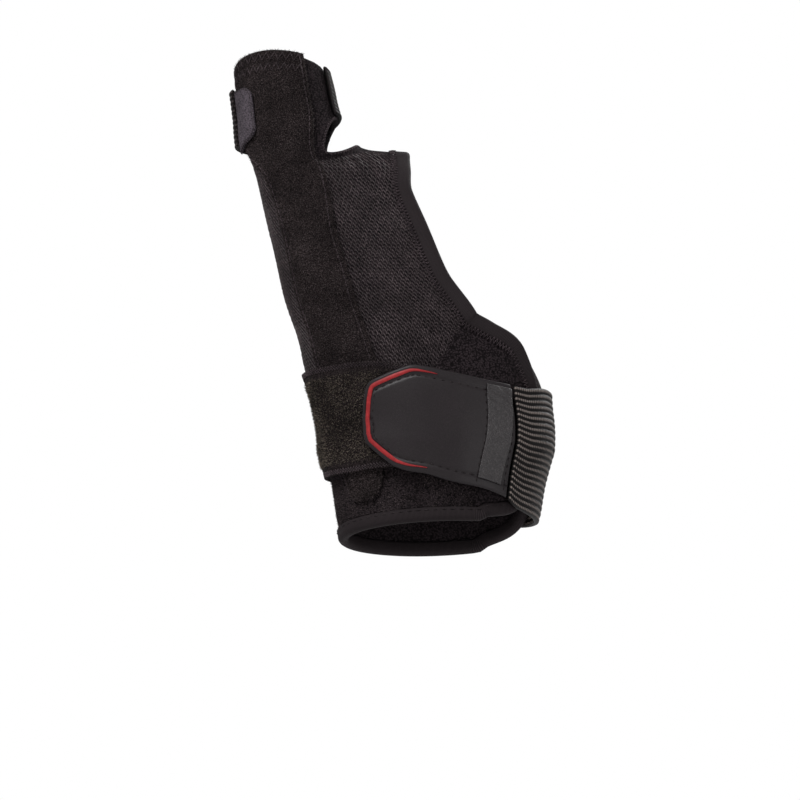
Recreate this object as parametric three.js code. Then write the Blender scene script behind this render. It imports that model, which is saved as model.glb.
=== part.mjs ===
// A thumb spica splint for a right hand: a mesh body that wraps the wrist and the base of the thumb,
// with a stay pocket down the thumb, bound edges, a wrist strap and a small strap round the thumb.
// Millimetres, +Z up. The back of the hand faces -Y, the thumb side is -X, and the origin is the middle
// of the wrist's hollow at the height of the wrist strap.
import * as THREE from "three";
import { mergeVertices } from "three/addons/utils/BufferGeometryUtils.js";

// The hollow that the splint is worn on.
const WRIST_WIDTH = 77;
const WRIST_DEPTH = 45;
const THUMB_WIDTH = 24.3;
const THUMB_DEPTH = 24;
const THUMB_RISE = 143; // strap level up to the thumb rim
const CUFF_DROP = 27; // strap level down to the body's lower edge
const THUMB_OFFSET = 56; // wrist axis sideways to the thumb rim's centre
const THUMB_FORWARD = 9; // wrist axis towards the palm, at the thumb rim

// Cloth thicknesses and the gap kept between two layers.
const BODY_THICKNESS = 2.5;
const POCKET_THICKNESS = 1.7;
const LOOP_BAND_THICKNESS = 1.6;
const ELASTIC_THICKNESS = 2;
const PATCH_THICKNESS = 1.5;
const THUMB_STRAP_THICKNESS = 1.6;
const TAB_THICKNESS = 1.3;
const TRIM_THICKNESS = 0.7; // piping and grained strip on the patch
const CLEARANCE = 0.3;

// Bands and trims.
const LOOP_BAND_WIDTH = 39;
const ELASTIC_WIDTH = 42;
const PATCH_WIDTH = 40;
const THUMB_STRAP_WIDTH = 23.5;
const TAB_WIDTH = 23.6;
const BINDING_WIDTH = 6;
const BINDING_SWELL = 0.3; // how far the folded tape stands over the body's faces
const HEM_HEIGHT = 5;
const HEM_SWELL = 0.7;
const PIPING_WIDTH = 1.7;
const PIPING_INSET = 1.3;
const POCKET_END_LENGTH = 9; // the rounded lower end of the stay pocket
const POCKET_RIM_MARGIN = 1; // thumb rim down to the pocket's top edge
const ELASTIC_LIFT = 1.2; // how far the elastic stands off where the wrap's edges meet under it
const PATCH_FALL = 3; // how far the patch comes down past the loop band's end

// The gap at the web of the thumb, between the thumb strap and the body.
const WEB_BRIDGE = 14.5; // length of the fold that passes over the web
const WEB_HOLE_HEIGHT = 13.5;
const WEB_HOLE_HALF_ANGLE = 58;

// The hollow's cross-sections, from the forearm up to the thumb rim. Angle 0 is the little-finger side and
// 90 the back of the hand.
//   rise: height, of CUFF_DROP below the strap level and of THUMB_RISE above it
//   toThumb: 0 where a section measures as the wrist, 1 where it measures as the thumb
//   axis, forward: the section's centre, of THUMB_OFFSET and THUMB_FORWARD
//   radial, ulnar, dorsal, palmar: the four half sizes, of the half width and half depth
//   power: roundness of the little-finger half, 2 an ellipse and 1 a wedge
//   sideTilt, palmTilt: slope of the section's plane
//   backEdge, palmEdge: where the body's edge lies, measured as ulnar is; past ulnar the body is closed
//   ridge: how far the web side stands above the section's plane, of THUMB_DEPTH
const SECTIONS = table(
  "rise  toThumb axis  forward radial ulnar dorsal palmar power sideTilt palmTilt backEdge palmEdge ridge",
  `-1.7  0       0     0       0.805  0.79  0.91   0.91   2.2   0.04     -0.14    0.39     0.39     0
   -1    0       0     0       0.836  0.82  0.947  0.947  2.2   0.04     -0.14    0.39     0.39     0
   -0.85 0       0     0       0.857  0.844 0.955  0.955  2.2   0.035    -0.12    0.65     0.68     0
   -0.5  0       0     0       0.896  0.883 0.978  0.978  2.2   0.02     -0.07    0.805    0.857    0
   0     0       0     0       0.98   0.974 1      1      2.2   0        0        0.85     0.943    0
   0.115 0       0.035 0       0.987  1.005 1      1.067  2.2   0        0        0.874    0.965    0
   0.222 0.07    0.112 0.11    1.052  1.171 1.034  1.139  2.2   0        0        0.894    0.958    0
   0.265 0.11    0.16  0.144   1.042  1.305 1.06   1.188  2.2   0        0        0.754    0.781    0
   0.302 0.14    0.205 0.178   1.033  1.439 1.075  1.208  2.2   0        0        0.611    0.611    0
   0.388 0.25    0.341 0.28    1.02   1.657 1.13   1.256  2.2   0        0        0.621    0.621    0
   0.547 0.45    0.561 0.39    0.954  2.037 1.18   1.264  2.1   0        0.03     0.846    0.846    0
   0.657 0.62    0.701 0.39    0.963  2.061 1.19   1.25   1.7   0        0.08     1.116    1.116    0.02
   0.713 0.7     0.766 0.39    0.977  2.004 1.175  1.22   1.35  0        0.15     1.388    1.388    0.06
   0.732 0.74    0.803 0.39    0.966  1.873 1.156  1.204  1.15  0        0.22     1.557    1.557    0.115
   0.743 0.76    0.822 0.4     0.959  1.171 1.15   1.186  1.3   0        0.25     1.656    1.656    0.113
   0.758 0.8     0.859 0.44    0.95   0.981 1.135  1.135  1.8   0        0.2      1.755    1.755    0.15
   0.838 0.9     0.935 0.56    0.932  1.035 1.073  1.11   2     -0.03    0        2        2        0.04
   0.922 1       0.974 0.78    1.077  1.195 1.083  1.083  2     -0.08    -0.15    2        2        0
   0.994 1       1     1       1.046  1.125 1      1      2     -0.11    -0.28    2        2        0`,
);

// Where the cloth is pressed in or, with a depth below 0, stands out in a fold. rise and length are of
// THUMB_RISE and depth of THUMB_DEPTH. width is in degrees round the section, and lean is how many degrees
// the fold turns over one THUMB_RISE of height.
const FOLDS = table(
  "angle rise  width length lean depth",
  `72    0.67  15    0.091  -86  0.0625
   94    0.64  7     0.112  -72  -0.029
   128   0.33  16    0.063  0    0.025
   250   0.3   28    0.035  172  0.054
   262   0.39  26    0.035  215  0.046
   240   0.22  30    0.035  114  -0.029
   292   0.66  16    0.091  86   0.058
   60    0.285 22    0.035  -143 0.033`,
);

const CUFF_ROW = 1; // the row at the body's lower edge
const STRAP_ROW = 4; // the row at the strap level
const WEB_ROW = 13; // the last row before the fold over the web
const TOP_ROW = SECTIONS.length - 1;

// The stay pocket's two edges, as angles, from the strap level up. rise is of THUMB_RISE.
const POCKET_EDGES = table(
  "rise  thumbSide handSide",
  `-0.12 148       121
   0     150       118
   0.192 153       113
   0.29  153       112
   0.438 149       104.5
   0.517 146       101
   0.637 143       92
   0.723 147       84
   0.764 160       75
   0.861 190       62
   0.994 196       62`,
);

// Centre lines of the wrist bands: angle round the wrist, rise of the middle and width, both of the band's
// own width, and lift, from 0 on the body to 1 at the full height of what the band passes over.
const LOOP_BAND = table(
  "angle rise  width lift",
  `84    0.163 0.94  1
   95    0.165 0.965 1
   116   0.233 0.98  1
   140   0.226 1     1
   154   0.23  1     1
   168   0.235 0.995 0.45
   180   0.243 0.985 0.05
   200   0.235 0.98  0
   225   0.13  0.98  0
   258   0     1     0`,
);
const ELASTIC_BAND = table(
  "angle rise   width lift",
  `46.4  -0.015 0.95  1
   35    -0.055 1.02  0.8
   16    -0.06  1.09  0.8
   0     -0.07  1.1   0.8
   -30   -0.06  1.08  0.8
   -60   -0.04  1.04  0.6
   -100  0      0.96  0`,
);

// The patch on the strap, from its tip to the elastic. top and bottom are of half PATCH_WIDTH, and lift is 1
// on the loop band and falls by PATCH_FALL towards 0.
const PATCH = table(
  "angle top   bottom lift",
  `126.5 0.36  0.06   1
   125   0.58  -0.07  1
   123   0.79  -0.15  1
   121   0.94  -0.22  1
   118.6 1.02  -0.3   1
   111   1.12  -0.51  1
   103.8 1.2   -0.6   1
   95.2  1.27  -0.65  1
   81.2  1.15  -0.79  0.95
   66.2  1.05  -0.87  0.6
   48.5  0.975 -1     0.3`,
);
const GRAIN_STRIP = { from: 66, to: 51.5, lean: 2.8, above: 1.7, below: 3.2 };
const PIPING_ENDS = { top: 84.5, bottom: 95 }; // the angles at which the red line starts and ends

// The thumb strap's centre line. rise is of THUMB_RISE, width of THUMB_STRAP_WIDTH, and lift as above.
const THUMB_STRAP = table(
  "angle rise  width lift",
  `26    0.921 0.805 0
   0     0.917 0.78  0
   -45   0.902 0.8   0
   -90   0.88  0.855 0
   -135  0.866 0.9   0.2
   -160  0.864 0.925 1.05
   -180  0.864 0.93  1.5
   -191  0.864 0.93  1.3`,
);

// The hook tab at the thumb strap's end. top and bottom are of half TAB_WIDTH, from the strap's middle.
const TAB = table(
  "angle top  bottom",
  `168   1.05 -0.98
   156   1.02 -0.81
   145   1    -0.72
   137   0.9  -0.6
   132   0.7  -0.42`,
);
const TAB_RISE = 0.847; // the height of the tab's middle, of THUMB_RISE

const POCKET_BASE = BODY_THICKNESS + CLEARANCE;
const POCKET_TOP = POCKET_BASE + POCKET_THICKNESS;
const BINDING_TOP = BODY_THICKNESS + BINDING_SWELL;

// Reads a table written as words: one line of column names, then one line for each row.
function table(names, text) {
  const columns = names.trim().split(/\s+/);
  return text.split("\n").map((line) => {
    const values = line.trim().split(/\s+/).map(Number);
    return Object.fromEntries(columns.map((name, i) => [name, values[i]]));
  });
}

const mix = (a, b, share) => a + (b - a) * share;
const radians = (degrees) => (degrees * Math.PI) / 180;

// A smooth curve through (knots, values) that never swings past them.
function smoothCurve(knots, values) {
  const steps = knots.slice(1).map((k, i) => (values[i + 1] - values[i]) / (k - knots[i]));
  const slopes = values.map((_, i) => {
    if (i === 0) return steps[0];
    if (i === steps.length) return steps[i - 1];
    const [before, after] = [steps[i - 1], steps[i]];
    return before * after <= 0 ? 0 : (2 * before * after) / (before + after);
  });
  return (at) => {
    let i = 0;
    while (i < steps.length - 1 && at > knots[i + 1]) i++;
    const width = knots[i + 1] - knots[i];
    const t = Math.min(1, Math.max(0, (at - knots[i]) / width));
    const [t2, t3] = [t * t, t * t * t];
    return (
      (2 * t3 - 3 * t2 + 1) * values[i] +
      (t3 - 2 * t2 + t) * width * slopes[i] +
      (3 * t2 - 2 * t3) * values[i + 1] +
      (t3 - t2) * width * slopes[i + 1]
    );
  };
}

// Curves for every column of a table, over the column named key, or over the row number.
function curvesOf(rows, key) {
  const sign = key && rows[0][key] > rows[1][key] ? -1 : 1;
  const knots = rows.map((row, i) => (key ? sign * row[key] : i));
  const names = Object.keys(rows[0]).filter((name) => name !== key);
  const curves = names.map((name) => smoothCurve(knots, rows.map((row) => row[name])));
  return (at) => Object.fromEntries(names.map((name, i) => [name, curves[i](sign * at)]));
}

// Finds where an increasing function reaches a value.
function solve(value, f, low, high) {
  for (let i = 0; i < 40; i++) {
    const middle = (low + high) / 2;
    if (f(middle) < value) low = middle;
    else high = middle;
  }
  return (low + high) / 2;
}

const sectionShares = curvesOf(SECTIONS);

// The section at a level, in millimetres. A level counts rows of SECTIONS from the forearm up.
function section(level) {
  const s = sectionShares(level);
  const halfWidth = mix(WRIST_WIDTH, THUMB_WIDTH, s.toThumb) / 2;
  const halfDepth = mix(WRIST_DEPTH, THUMB_DEPTH, s.toThumb) / 2;
  return {
    height: s.rise * (s.rise < 0 ? CUFF_DROP : THUMB_RISE),
    x: -THUMB_OFFSET * s.axis,
    y: THUMB_FORWARD * s.forward,
    radial: s.radial * halfWidth,
    ulnar: s.ulnar * halfWidth,
    dorsal: s.dorsal * halfDepth,
    palmar: s.palmar * halfDepth,
    backEdge: s.backEdge * halfWidth,
    palmEdge: s.palmEdge * halfWidth,
    power: s.power,
    sideTilt: s.sideTilt,
    palmTilt: s.palmTilt,
    ridge: s.ridge * THUMB_DEPTH,
  };
}

// How far the folds press the surface in, at an angle and a height.
function pressed(angle, height) {
  return FOLDS.reduce((sum, fold) => {
    const up = height / THUMB_RISE - fold.rise;
    const turn = THREE.MathUtils.euclideanModulo(angle - fold.angle - fold.lean * up + 180, 360) - 180;
    const share = Math.exp(-((turn / fold.width) ** 2) - (up / fold.length) ** 2);
    return sum + fold.depth * THUMB_DEPTH * share;
  }, 0);
}

// A point of the hollow's own surface at an angle and a level.
function skin(angle, level) {
  const s = section(level);
  const [c, d] = [Math.cos(radians(angle)), Math.sin(radians(angle))];
  const bend = 2 / (c > 0 ? s.power : 2);
  const across = (c > 0 ? s.ulnar : s.radial) * Math.sign(c) * Math.abs(c) ** bend;
  const through = -(d > 0 ? s.dorsal : s.palmar) * Math.sign(d) * Math.abs(d) ** bend;
  const height = s.height + s.sideTilt * across + s.palmTilt * through + s.ridge * Math.max(0, c) ** 2;
  const squeeze = 1 - pressed(angle, s.height) / Math.hypot(across, through);
  return new THREE.Vector3(s.x + across * squeeze, s.y + through * squeeze, height);
}

// The surface's outward direction.
function outward(angle, level) {
  const [turn, step] = [1.5, 0.04];
  const around = skin(angle + turn, level).sub(skin(angle - turn, level));
  const [low, high] = [Math.max(0, level - step), Math.min(TOP_ROW, level + step)];
  const up = skin(angle, high).sub(skin(angle, low));
  return up.cross(around).normalize();
}

// A point at a height over the hollow's surface.
const over = (angle, level, height) => skin(angle, level).addScaledVector(outward(angle, level), height);

// The level at which the surface reaches a height z at an angle.
const levelAt = (angle, z) => solve(z, (level) => skin(angle, level).z, 0, TOP_ROW);

// A closed solid from a grid of points. point(i, j) gives [inner, outer]. Where seam(i) holds, the first and
// last columns of row i are one, so the cloth closes into a tube there.
function clothSolid(rows, columns, point, seam = () => false) {
  const positions = [];
  const triangles = [];
  for (let i = 0; i <= rows; i++)
    for (let j = 0; j <= columns; j++)
      for (const p of point(i, seam(i) && j === columns ? 0 : j)) positions.push(p.x, p.y, p.z);
  const id = (i, j, side) => (i * (columns + 1) + j) * 2 + side;
  const quad = (a, b, c, d) => triangles.push(a, b, c, a, c, d);
  for (let i = 0; i < rows; i++) {
    for (let j = 0; j < columns; j++) {
      quad(id(i, j, 1), id(i, j + 1, 1), id(i + 1, j + 1, 1), id(i + 1, j, 1));
      quad(id(i, j, 0), id(i + 1, j, 0), id(i + 1, j + 1, 0), id(i, j + 1, 0));
    }
    if (seam(i) && seam(i + 1)) continue;
    quad(id(i, 0, 0), id(i, 0, 1), id(i + 1, 0, 1), id(i + 1, 0, 0));
    quad(id(i, columns, 0), id(i + 1, columns, 0), id(i + 1, columns, 1), id(i, columns, 1));
  }
  for (let j = 0; j < columns; j++) {
    quad(id(0, j, 0), id(0, j + 1, 0), id(0, j + 1, 1), id(0, j, 1));
    quad(id(rows, j, 0), id(rows, j, 1), id(rows, j + 1, 1), id(rows, j + 1, 0));
  }
  return closedGeometry(positions, triangles);
}

// Merges the shared points, drops faces with no area and turns the faces outwards.
function closedGeometry(positions, triangles) {
  const loose = new THREE.BufferGeometry();
  loose.setAttribute("position", new THREE.Float32BufferAttribute(positions, 3));
  loose.setIndex(triangles);
  const merged = mergeVertices(loose, 1e-3);
  const kept = [];
  const index = merged.index.array;
  for (let i = 0; i < index.length; i += 3) {
    const [a, b, c] = index.slice(i, i + 3);
    if (a !== b && b !== c && c !== a) kept.push(a, b, c);
  }
  const corner = (i) => new THREE.Vector3().fromBufferAttribute(merged.attributes.position, kept[i]);
  let volume = 0;
  for (let i = 0; i < kept.length; i += 3) volume += corner(i).dot(corner(i + 1).cross(corner(i + 2)));
  if (volume < 0) kept.reverse();
  merged.setIndex(kept);
  merged.computeVertexNormals();
  return merged;
}

// A solid swept along a path that lies on the hollow's surface. Each stop of the path has an angle, a level
// and, where it is needed, a size that scales the profile. The profile's points are [aside, height].
function sweptSolid(path, profile) {
  const points = path.map((stop) => skin(stop.angle, stop.level));
  const sections = path.map((stop, i) => {
    const [before, after] = [points[Math.max(0, i - 1)], points[Math.min(points.length - 1, i + 1)]];
    const along = after.clone().sub(before).normalize();
    const up = outward(stop.angle, stop.level);
    const aside = along.clone().cross(up).normalize();
    return profile(stop).map(([side, height]) =>
      points[i].clone().addScaledVector(aside, side).addScaledVector(up, height),
    );
  });
  const count = sections[0].length;
  const positions = sections.flat().flatMap((p) => [p.x, p.y, p.z]);
  const triangles = [];
  const id = (i, j) => i * count + (j % count);
  for (let i = 0; i < sections.length - 1; i++)
    for (let j = 0; j < count; j++) {
      triangles.push(id(i, j), id(i, j + 1), id(i + 1, j + 1));
      triangles.push(id(i, j), id(i + 1, j + 1), id(i + 1, j));
    }
  for (let j = 1; j < count - 1; j++) {
    triangles.push(id(0, 0), id(0, j + 1), id(0, j));
    const last = sections.length - 1;
    triangles.push(id(last, 0), id(last, j), id(last, j + 1));
  }
  return closedGeometry(positions, triangles);
}

// The angle on the little-finger half where the surface lies a distance from the section's centre.
function edgeAngle(s, distance) {
  const share = Math.min(1, Math.max(0, distance / s.ulnar));
  return (Math.acos(share ** (s.power / 2)) * 180) / Math.PI;
}

// Levels of the web: where the finger opening closes, where the fold ends, and the hole's top.
const webReach = (level) => -(section(level).x + section(level).ulnar);
const openingEdgeX = section(WEB_ROW).x + section(WEB_ROW).backEdge;
const saddleLevel = solve(-openingEdgeX, webReach, WEB_ROW, WEB_ROW + 3);
const bridgeLevel = solve(WEB_BRIDGE - openingEdgeX, webReach, WEB_ROW, WEB_ROW + 3);
const holeTopHeight = section(bridgeLevel).height + WEB_HOLE_HEIGHT;
const holeTopLevel = solve(holeTopHeight, (level) => section(level).height, bridgeLevel, TOP_ROW);

// The angles at which the body's cloth starts, at the back of the hand, and ends, at the palm.
function bodyEdges(level) {
  if (level >= holeTopLevel || (level >= saddleLevel && level <= bridgeLevel)) return [0, 360];
  if (level > bridgeLevel) {
    const share = 2 * Math.sqrt((level - bridgeLevel) / (holeTopLevel - bridgeLevel)) - 1;
    const half = WEB_HOLE_HALF_ANGLE * Math.sqrt(1 - share * share);
    return [half, 360 - half];
  }
  const s = section(level);
  return [edgeAngle(s, s.backEdge), 360 - edgeAngle(s, s.palmEdge)];
}

// Evenly spaced levels, and levels that crowd towards both ends, the upper end or the lower end.
const evenly = (low, high, count) => Array.from({ length: count }, (_, i) => mix(low, high, i / count));
const crowded = (low, high, count) =>
  Array.from({ length: count }, (_, i) => mix(low, high, (1 - Math.cos((Math.PI * i) / count)) / 2));
const crowdedUp = (low, high, count) =>
  Array.from({ length: count }, (_, i) => mix(low, high, Math.sin((Math.PI * i) / (2 * count))));
const crowdedDown = (low, high, count) =>
  Array.from({ length: count }, (_, i) => mix(low, high, 1 - Math.cos((Math.PI * i) / (2 * count))));

const openingLevels = [...evenly(CUFF_ROW, WEB_ROW - 1, 24), ...crowdedUp(WEB_ROW - 1, saddleLevel, 6)];
const BODY_LEVELS = [
  ...openingLevels,
  ...evenly(saddleLevel, bridgeLevel, 3),
  ...crowded(bridgeLevel, holeTopLevel, 8),
  ...evenly(holeTopLevel, TOP_ROW, 4),
  TOP_ROW,
];

// The body's columns: the ones from 90 to 270 degrees stay where they are, the others follow the edges.
const [SIDE_COLUMNS, MIDDLE_COLUMNS] = [6, 16];
function columnAngle([from, to], j) {
  if (j < SIDE_COLUMNS) return mix(from, 90, j / SIDE_COLUMNS);
  const k = j - SIDE_COLUMNS;
  if (k <= MIDDLE_COLUMNS) return mix(90, 270, k / MIDDLE_COLUMNS);
  return mix(270, to, (k - MIDDLE_COLUMNS) / SIDE_COLUMNS);
}

function bodyWrap() {
  const columns = 2 * SIDE_COLUMNS + MIDDLE_COLUMNS;
  const closed = BODY_LEVELS.map((level) => bodyEdges(level)[0] === 0);
  return clothSolid(
    BODY_LEVELS.length - 1,
    columns,
    (i, j) => {
      const angle = columnAngle(bodyEdges(BODY_LEVELS[i]), j);
      return [0, BODY_THICKNESS].map((height) => over(angle, BODY_LEVELS[i], height));
    },
    (i) => closed[i],
  );
}

// The body's boundary round the finger opening, up the back of the hand, over the web and down the palm.
function openingPath() {
  const start = levelAt(30, 0.35 * LOOP_BAND_WIDTH);
  const levels = openingLevels.filter((level) => level > start);
  const back = levels.map((level) => ({ angle: bodyEdges(level)[0], level }));
  const palm = levels.map((level) => ({ angle: bodyEdges(level)[1] - 360, level }));
  return [...back, { angle: 0, level: saddleLevel }, ...palm.reverse()];
}

// A folded tape: a flat profile with a rounded free edge.
function foldedTape(width, low, high) {
  const middle = (low + high) / 2;
  const round = (high - low) / 2;
  const nose = [-60, 0, 60].map((turn) => [
    CLEARANCE + width - round + round * Math.cos(radians(turn)),
    middle + round * Math.sin(radians(turn)),
  ]);
  return [[CLEARANCE, low], [CLEARANCE + width - round, low], ...nose, [CLEARANCE, high]];
}

function openingBinding() {
  const profile = foldedTape(BINDING_WIDTH, -BINDING_SWELL, BINDING_TOP);
  return sweptSolid(openingPath(), () => profile);
}

// The hem follows the lower corners and the lower edge of the cuff.
function cuffHem() {
  const cornerLevels = openingLevels.filter((level) => level < STRAP_ROW - 1.2);
  const [from, to] = bodyEdges(CUFF_ROW);
  const back = cornerLevels.map((level) => ({ angle: bodyEdges(level)[0], level }));
  const palm = cornerLevels.map((level) => ({ angle: bodyEdges(level)[1], level }));
  const stops = 40;
  const bottom = Array.from({ length: stops - 1 }, (_, i) => ({
    angle: mix(from, to, (i + 1) / stops),
    level: CUFF_ROW,
  }));
  const profile = foldedTape(HEM_HEIGHT, -HEM_SWELL, BODY_THICKNESS + HEM_SWELL);
  return sweptSolid([...palm.reverse(), ...bottom.reverse(), ...back], () => profile);
}

function stayPocket() {
  const edges = curvesOf(POCKET_EDGES, "rise");
  const columns = 8;
  const levelOf = (height) => solve(height, (at) => section(at).height, 0, TOP_ROW);
  const lowest = POCKET_EDGES[0].rise * THUMB_RISE - POCKET_END_LENGTH / 2;
  const highest = levelOf(THUMB_RISE - POCKET_RIM_MARGIN);
  const end = levelOf(lowest + POCKET_END_LENGTH);
  const above = BODY_LEVELS.filter((level) => level > end + 0.05 && level < highest - 0.02);
  const levels = [...crowdedDown(levelOf(lowest), end, 5), end, ...above, highest];
  return clothSolid(levels.length - 1, columns, (i, j) => {
    const { height } = section(levels[i]);
    const { thumbSide, handSide } = edges(height / THUMB_RISE);
    const rounding = 1 - Math.min(1, (height - lowest) / POCKET_END_LENGTH);
    const fullness = 0.35 + 0.65 * Math.sqrt(1 - rounding ** 2);
    const middle = (thumbSide + handSide) / 2;
    const angle = middle + ((handSide - thumbSide) / 2) * fullness * (1 - (2 * j) / columns);
    return [POCKET_BASE, POCKET_TOP].map((h) => over(angle, levels[i], h));
  });
}

// A band round the form. Its stations give its rise, width and lift at an angle, as shares of the sizes.
function band({ rows, columns, stations, width, rise, base, thickness, lift }) {
  const curves = curvesOf(stations, "angle");
  const [from, to] = [stations[0].angle, stations.at(-1).angle];
  return clothSolid(rows, columns, (i, j) => {
    const angle = mix(from, to, i / rows);
    const at = curves(angle);
    const z = at.rise * rise + at.width * width * (j / columns - 0.5);
    const level = levelAt(angle, z);
    const low = base + at.lift * lift;
    return [low, low + thickness].map((h) => over(angle, level, h));
  });
}

const LOOP_BAND_BASE = POCKET_BASE;
const LOOP_BAND_LIFT = POCKET_THICKNESS + CLEARANCE;
const loopBand = () =>
  band({
    rows: 30,
    columns: 6,
    stations: LOOP_BAND,
    width: LOOP_BAND_WIDTH,
    rise: LOOP_BAND_WIDTH,
    base: LOOP_BAND_BASE,
    thickness: LOOP_BAND_THICKNESS,
    lift: LOOP_BAND_LIFT,
  });

const ELASTIC_BASE = POCKET_BASE;
const elasticBand = () =>
  band({
    rows: 30,
    columns: 6,
    stations: ELASTIC_BAND,
    width: ELASTIC_WIDTH,
    rise: ELASTIC_WIDTH,
    base: ELASTIC_BASE,
    thickness: ELASTIC_THICKNESS,
    lift: ELASTIC_LIFT,
  });

const THUMB_STRAP_LIFT = POCKET_THICKNESS + CLEARANCE;
const thumbStrap = () =>
  band({
    rows: 30,
    columns: 4,
    stations: THUMB_STRAP,
    width: THUMB_STRAP_WIDTH,
    rise: THUMB_RISE,
    base: POCKET_BASE,
    thickness: THUMB_STRAP_THICKNESS,
    lift: THUMB_STRAP_LIFT,
  });

const PATCH_BASE = LOOP_BAND_BASE + LOOP_BAND_LIFT + LOOP_BAND_THICKNESS + CLEARANCE;
const patchCurves = curvesOf(PATCH, "angle");
const patchBase = (angle) => PATCH_BASE - PATCH_FALL * (1 - patchCurves(angle).lift);

function strapPatch() {
  const [rows, columns] = [24, 8];
  const [from, to] = [PATCH[0].angle, PATCH.at(-1).angle];
  return clothSolid(rows, columns, (i, j) => {
    const angle = mix(from, to, (i / rows) ** 1.5);
    const { top, bottom } = patchCurves(angle);
    const z = (mix(bottom, top, j / columns) * PATCH_WIDTH) / 2;
    const low = patchBase(angle);
    return [low, low + PATCH_THICKNESS].map((h) => over(angle, levelAt(angle, z), h));
  });
}

// The piping runs inside the patch's outline, from its upper edge round the tip to its lower edge.
function patchPiping() {
  const tip = PATCH[0].angle;
  const stops = 16;
  const side = (edge) =>
    Array.from({ length: stops }, (_, i) => {
      const end = PIPING_ENDS[edge];
      const angle = mix(end, tip, Math.sin((Math.PI * i) / (2 * (stops - 1))));
      return {
        angle,
        level: levelAt(angle, (patchCurves(angle)[edge] * PATCH_WIDTH) / 2),
        size: Math.min(1, 0.25 + (0.75 * (angle - end)) / 12),
      };
    });
  const path = [...side("top"), ...side("bottom").reverse()];
  return sweptSolid(path.reverse(), ({ angle, size }) => {
    const low = patchBase(angle) + PATCH_THICKNESS + CLEARANCE;
    const near = PIPING_INSET + (PIPING_WIDTH * (1 - size)) / 2;
    const far = near + PIPING_WIDTH * size;
    return [
      [near, low],
      [near + 0.2, low + TRIM_THICKNESS],
      [far - 0.2, low + TRIM_THICKNESS],
      [far, low],
    ];
  });
}

function grainStrip() {
  const [rows, columns] = [4, 8];
  return clothSolid(rows, columns, (i, j) => {
    const across = j / columns;
    const lean = GRAIN_STRIP.lean * (1 - 2 * across);
    const angle = mix(GRAIN_STRIP.from, GRAIN_STRIP.to, i / rows) + lean;
    const { top, bottom } = patchCurves(angle);
    const low = (bottom * PATCH_WIDTH) / 2 + GRAIN_STRIP.below;
    const high = (top * PATCH_WIDTH) / 2 - GRAIN_STRIP.above;
    const base = patchBase(angle) + PATCH_THICKNESS + CLEARANCE;
    const level = levelAt(angle, mix(low, high, across));
    return [base, base + TRIM_THICKNESS].map((h) => over(angle, level, h));
  });
}

function thumbTab() {
  const curves = curvesOf(TAB, "angle");
  const [rows, columns] = [10, 6];
  const base = POCKET_TOP + CLEARANCE;
  return clothSolid(rows, columns, (i, j) => {
    const angle = mix(TAB[0].angle, TAB.at(-1).angle, i / rows);
    const { top, bottom } = curves(angle);
    const z = TAB_RISE * THUMB_RISE + (mix(bottom, top, j / columns) * TAB_WIDTH) / 2;
    return [base, base + TAB_THICKNESS].map((h) => over(angle, levelAt(angle, z), h));
  });
}

const FINISHES = {
  meshCloth: { color: 0x1f1c1d, roughness: 0.95, metalness: 0 },
  loopCloth: { color: 0x1a1717, roughness: 1, metalness: 0 },
  tape: { color: 0x242123, roughness: 0.8, metalness: 0 },
  elastic: { color: 0x23201f, roughness: 0.9, metalness: 0 },
  leather: { color: 0x272426, roughness: 0.55, metalness: 0 },
  redTrim: { color: 0xb3252c, roughness: 0.5, metalness: 0 },
  hookTab: { color: 0x4a464b, roughness: 0.8, metalness: 0 },
};

const PIECES = [
  ["body_wrap", bodyWrap, "meshCloth"],
  ["opening_binding", openingBinding, "tape"],
  ["cuff_hem", cuffHem, "tape"],
  ["stay_pocket", stayPocket, "loopCloth"],
  ["thumb_strap", thumbStrap, "elastic"],
  ["thumb_tab", thumbTab, "hookTab"],
  ["loop_band", loopBand, "loopCloth"],
  ["elastic_band", elasticBand, "elastic"],
  ["strap_patch", strapPatch, "leather"],
  ["patch_piping", patchPiping, "redTrim"],
  ["grain_strip", grainStrip, "leather"],
];

const splint = new THREE.Group();
for (const [name, make, finish] of PIECES) {
  const mesh = new THREE.Mesh(make(), new THREE.MeshStandardMaterial(FINISHES[finish]));
  mesh.name = name;
  splint.add(mesh);
}

export default splint;
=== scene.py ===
"""Thumb spica splint for a right hand, in its worn form.

A spacer-mesh wrap with a stay pocket down the thumb, bound edges, a wrist strap with a leather patch and a
small elastic strap round the thumb. Every cloth piece follows one form, the hollow that the splint is worn
on. The form is worked out in millimetres and the meshes are made in metres.
"""
import logging
import math
from dataclasses import dataclass, field
from enum import Enum
from typing import Callable

import bmesh
import bpy
import numpy as np
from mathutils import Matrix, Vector


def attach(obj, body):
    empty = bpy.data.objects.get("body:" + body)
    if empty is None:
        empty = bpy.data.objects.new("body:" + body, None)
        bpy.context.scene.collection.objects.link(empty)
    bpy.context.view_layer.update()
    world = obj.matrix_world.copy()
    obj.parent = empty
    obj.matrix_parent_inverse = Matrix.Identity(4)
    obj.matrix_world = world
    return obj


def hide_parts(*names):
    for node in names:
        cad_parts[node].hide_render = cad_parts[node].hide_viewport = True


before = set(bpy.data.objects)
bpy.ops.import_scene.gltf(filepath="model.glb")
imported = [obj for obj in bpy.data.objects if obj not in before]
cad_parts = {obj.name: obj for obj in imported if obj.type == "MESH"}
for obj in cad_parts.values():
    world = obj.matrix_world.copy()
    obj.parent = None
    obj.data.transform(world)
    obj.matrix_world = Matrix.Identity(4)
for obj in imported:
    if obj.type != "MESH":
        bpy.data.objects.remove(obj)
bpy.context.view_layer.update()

log = logging.getLogger("splint")
MM = 0.001
RIB_PITCH = 1.9
Grid = np.ndarray


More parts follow.
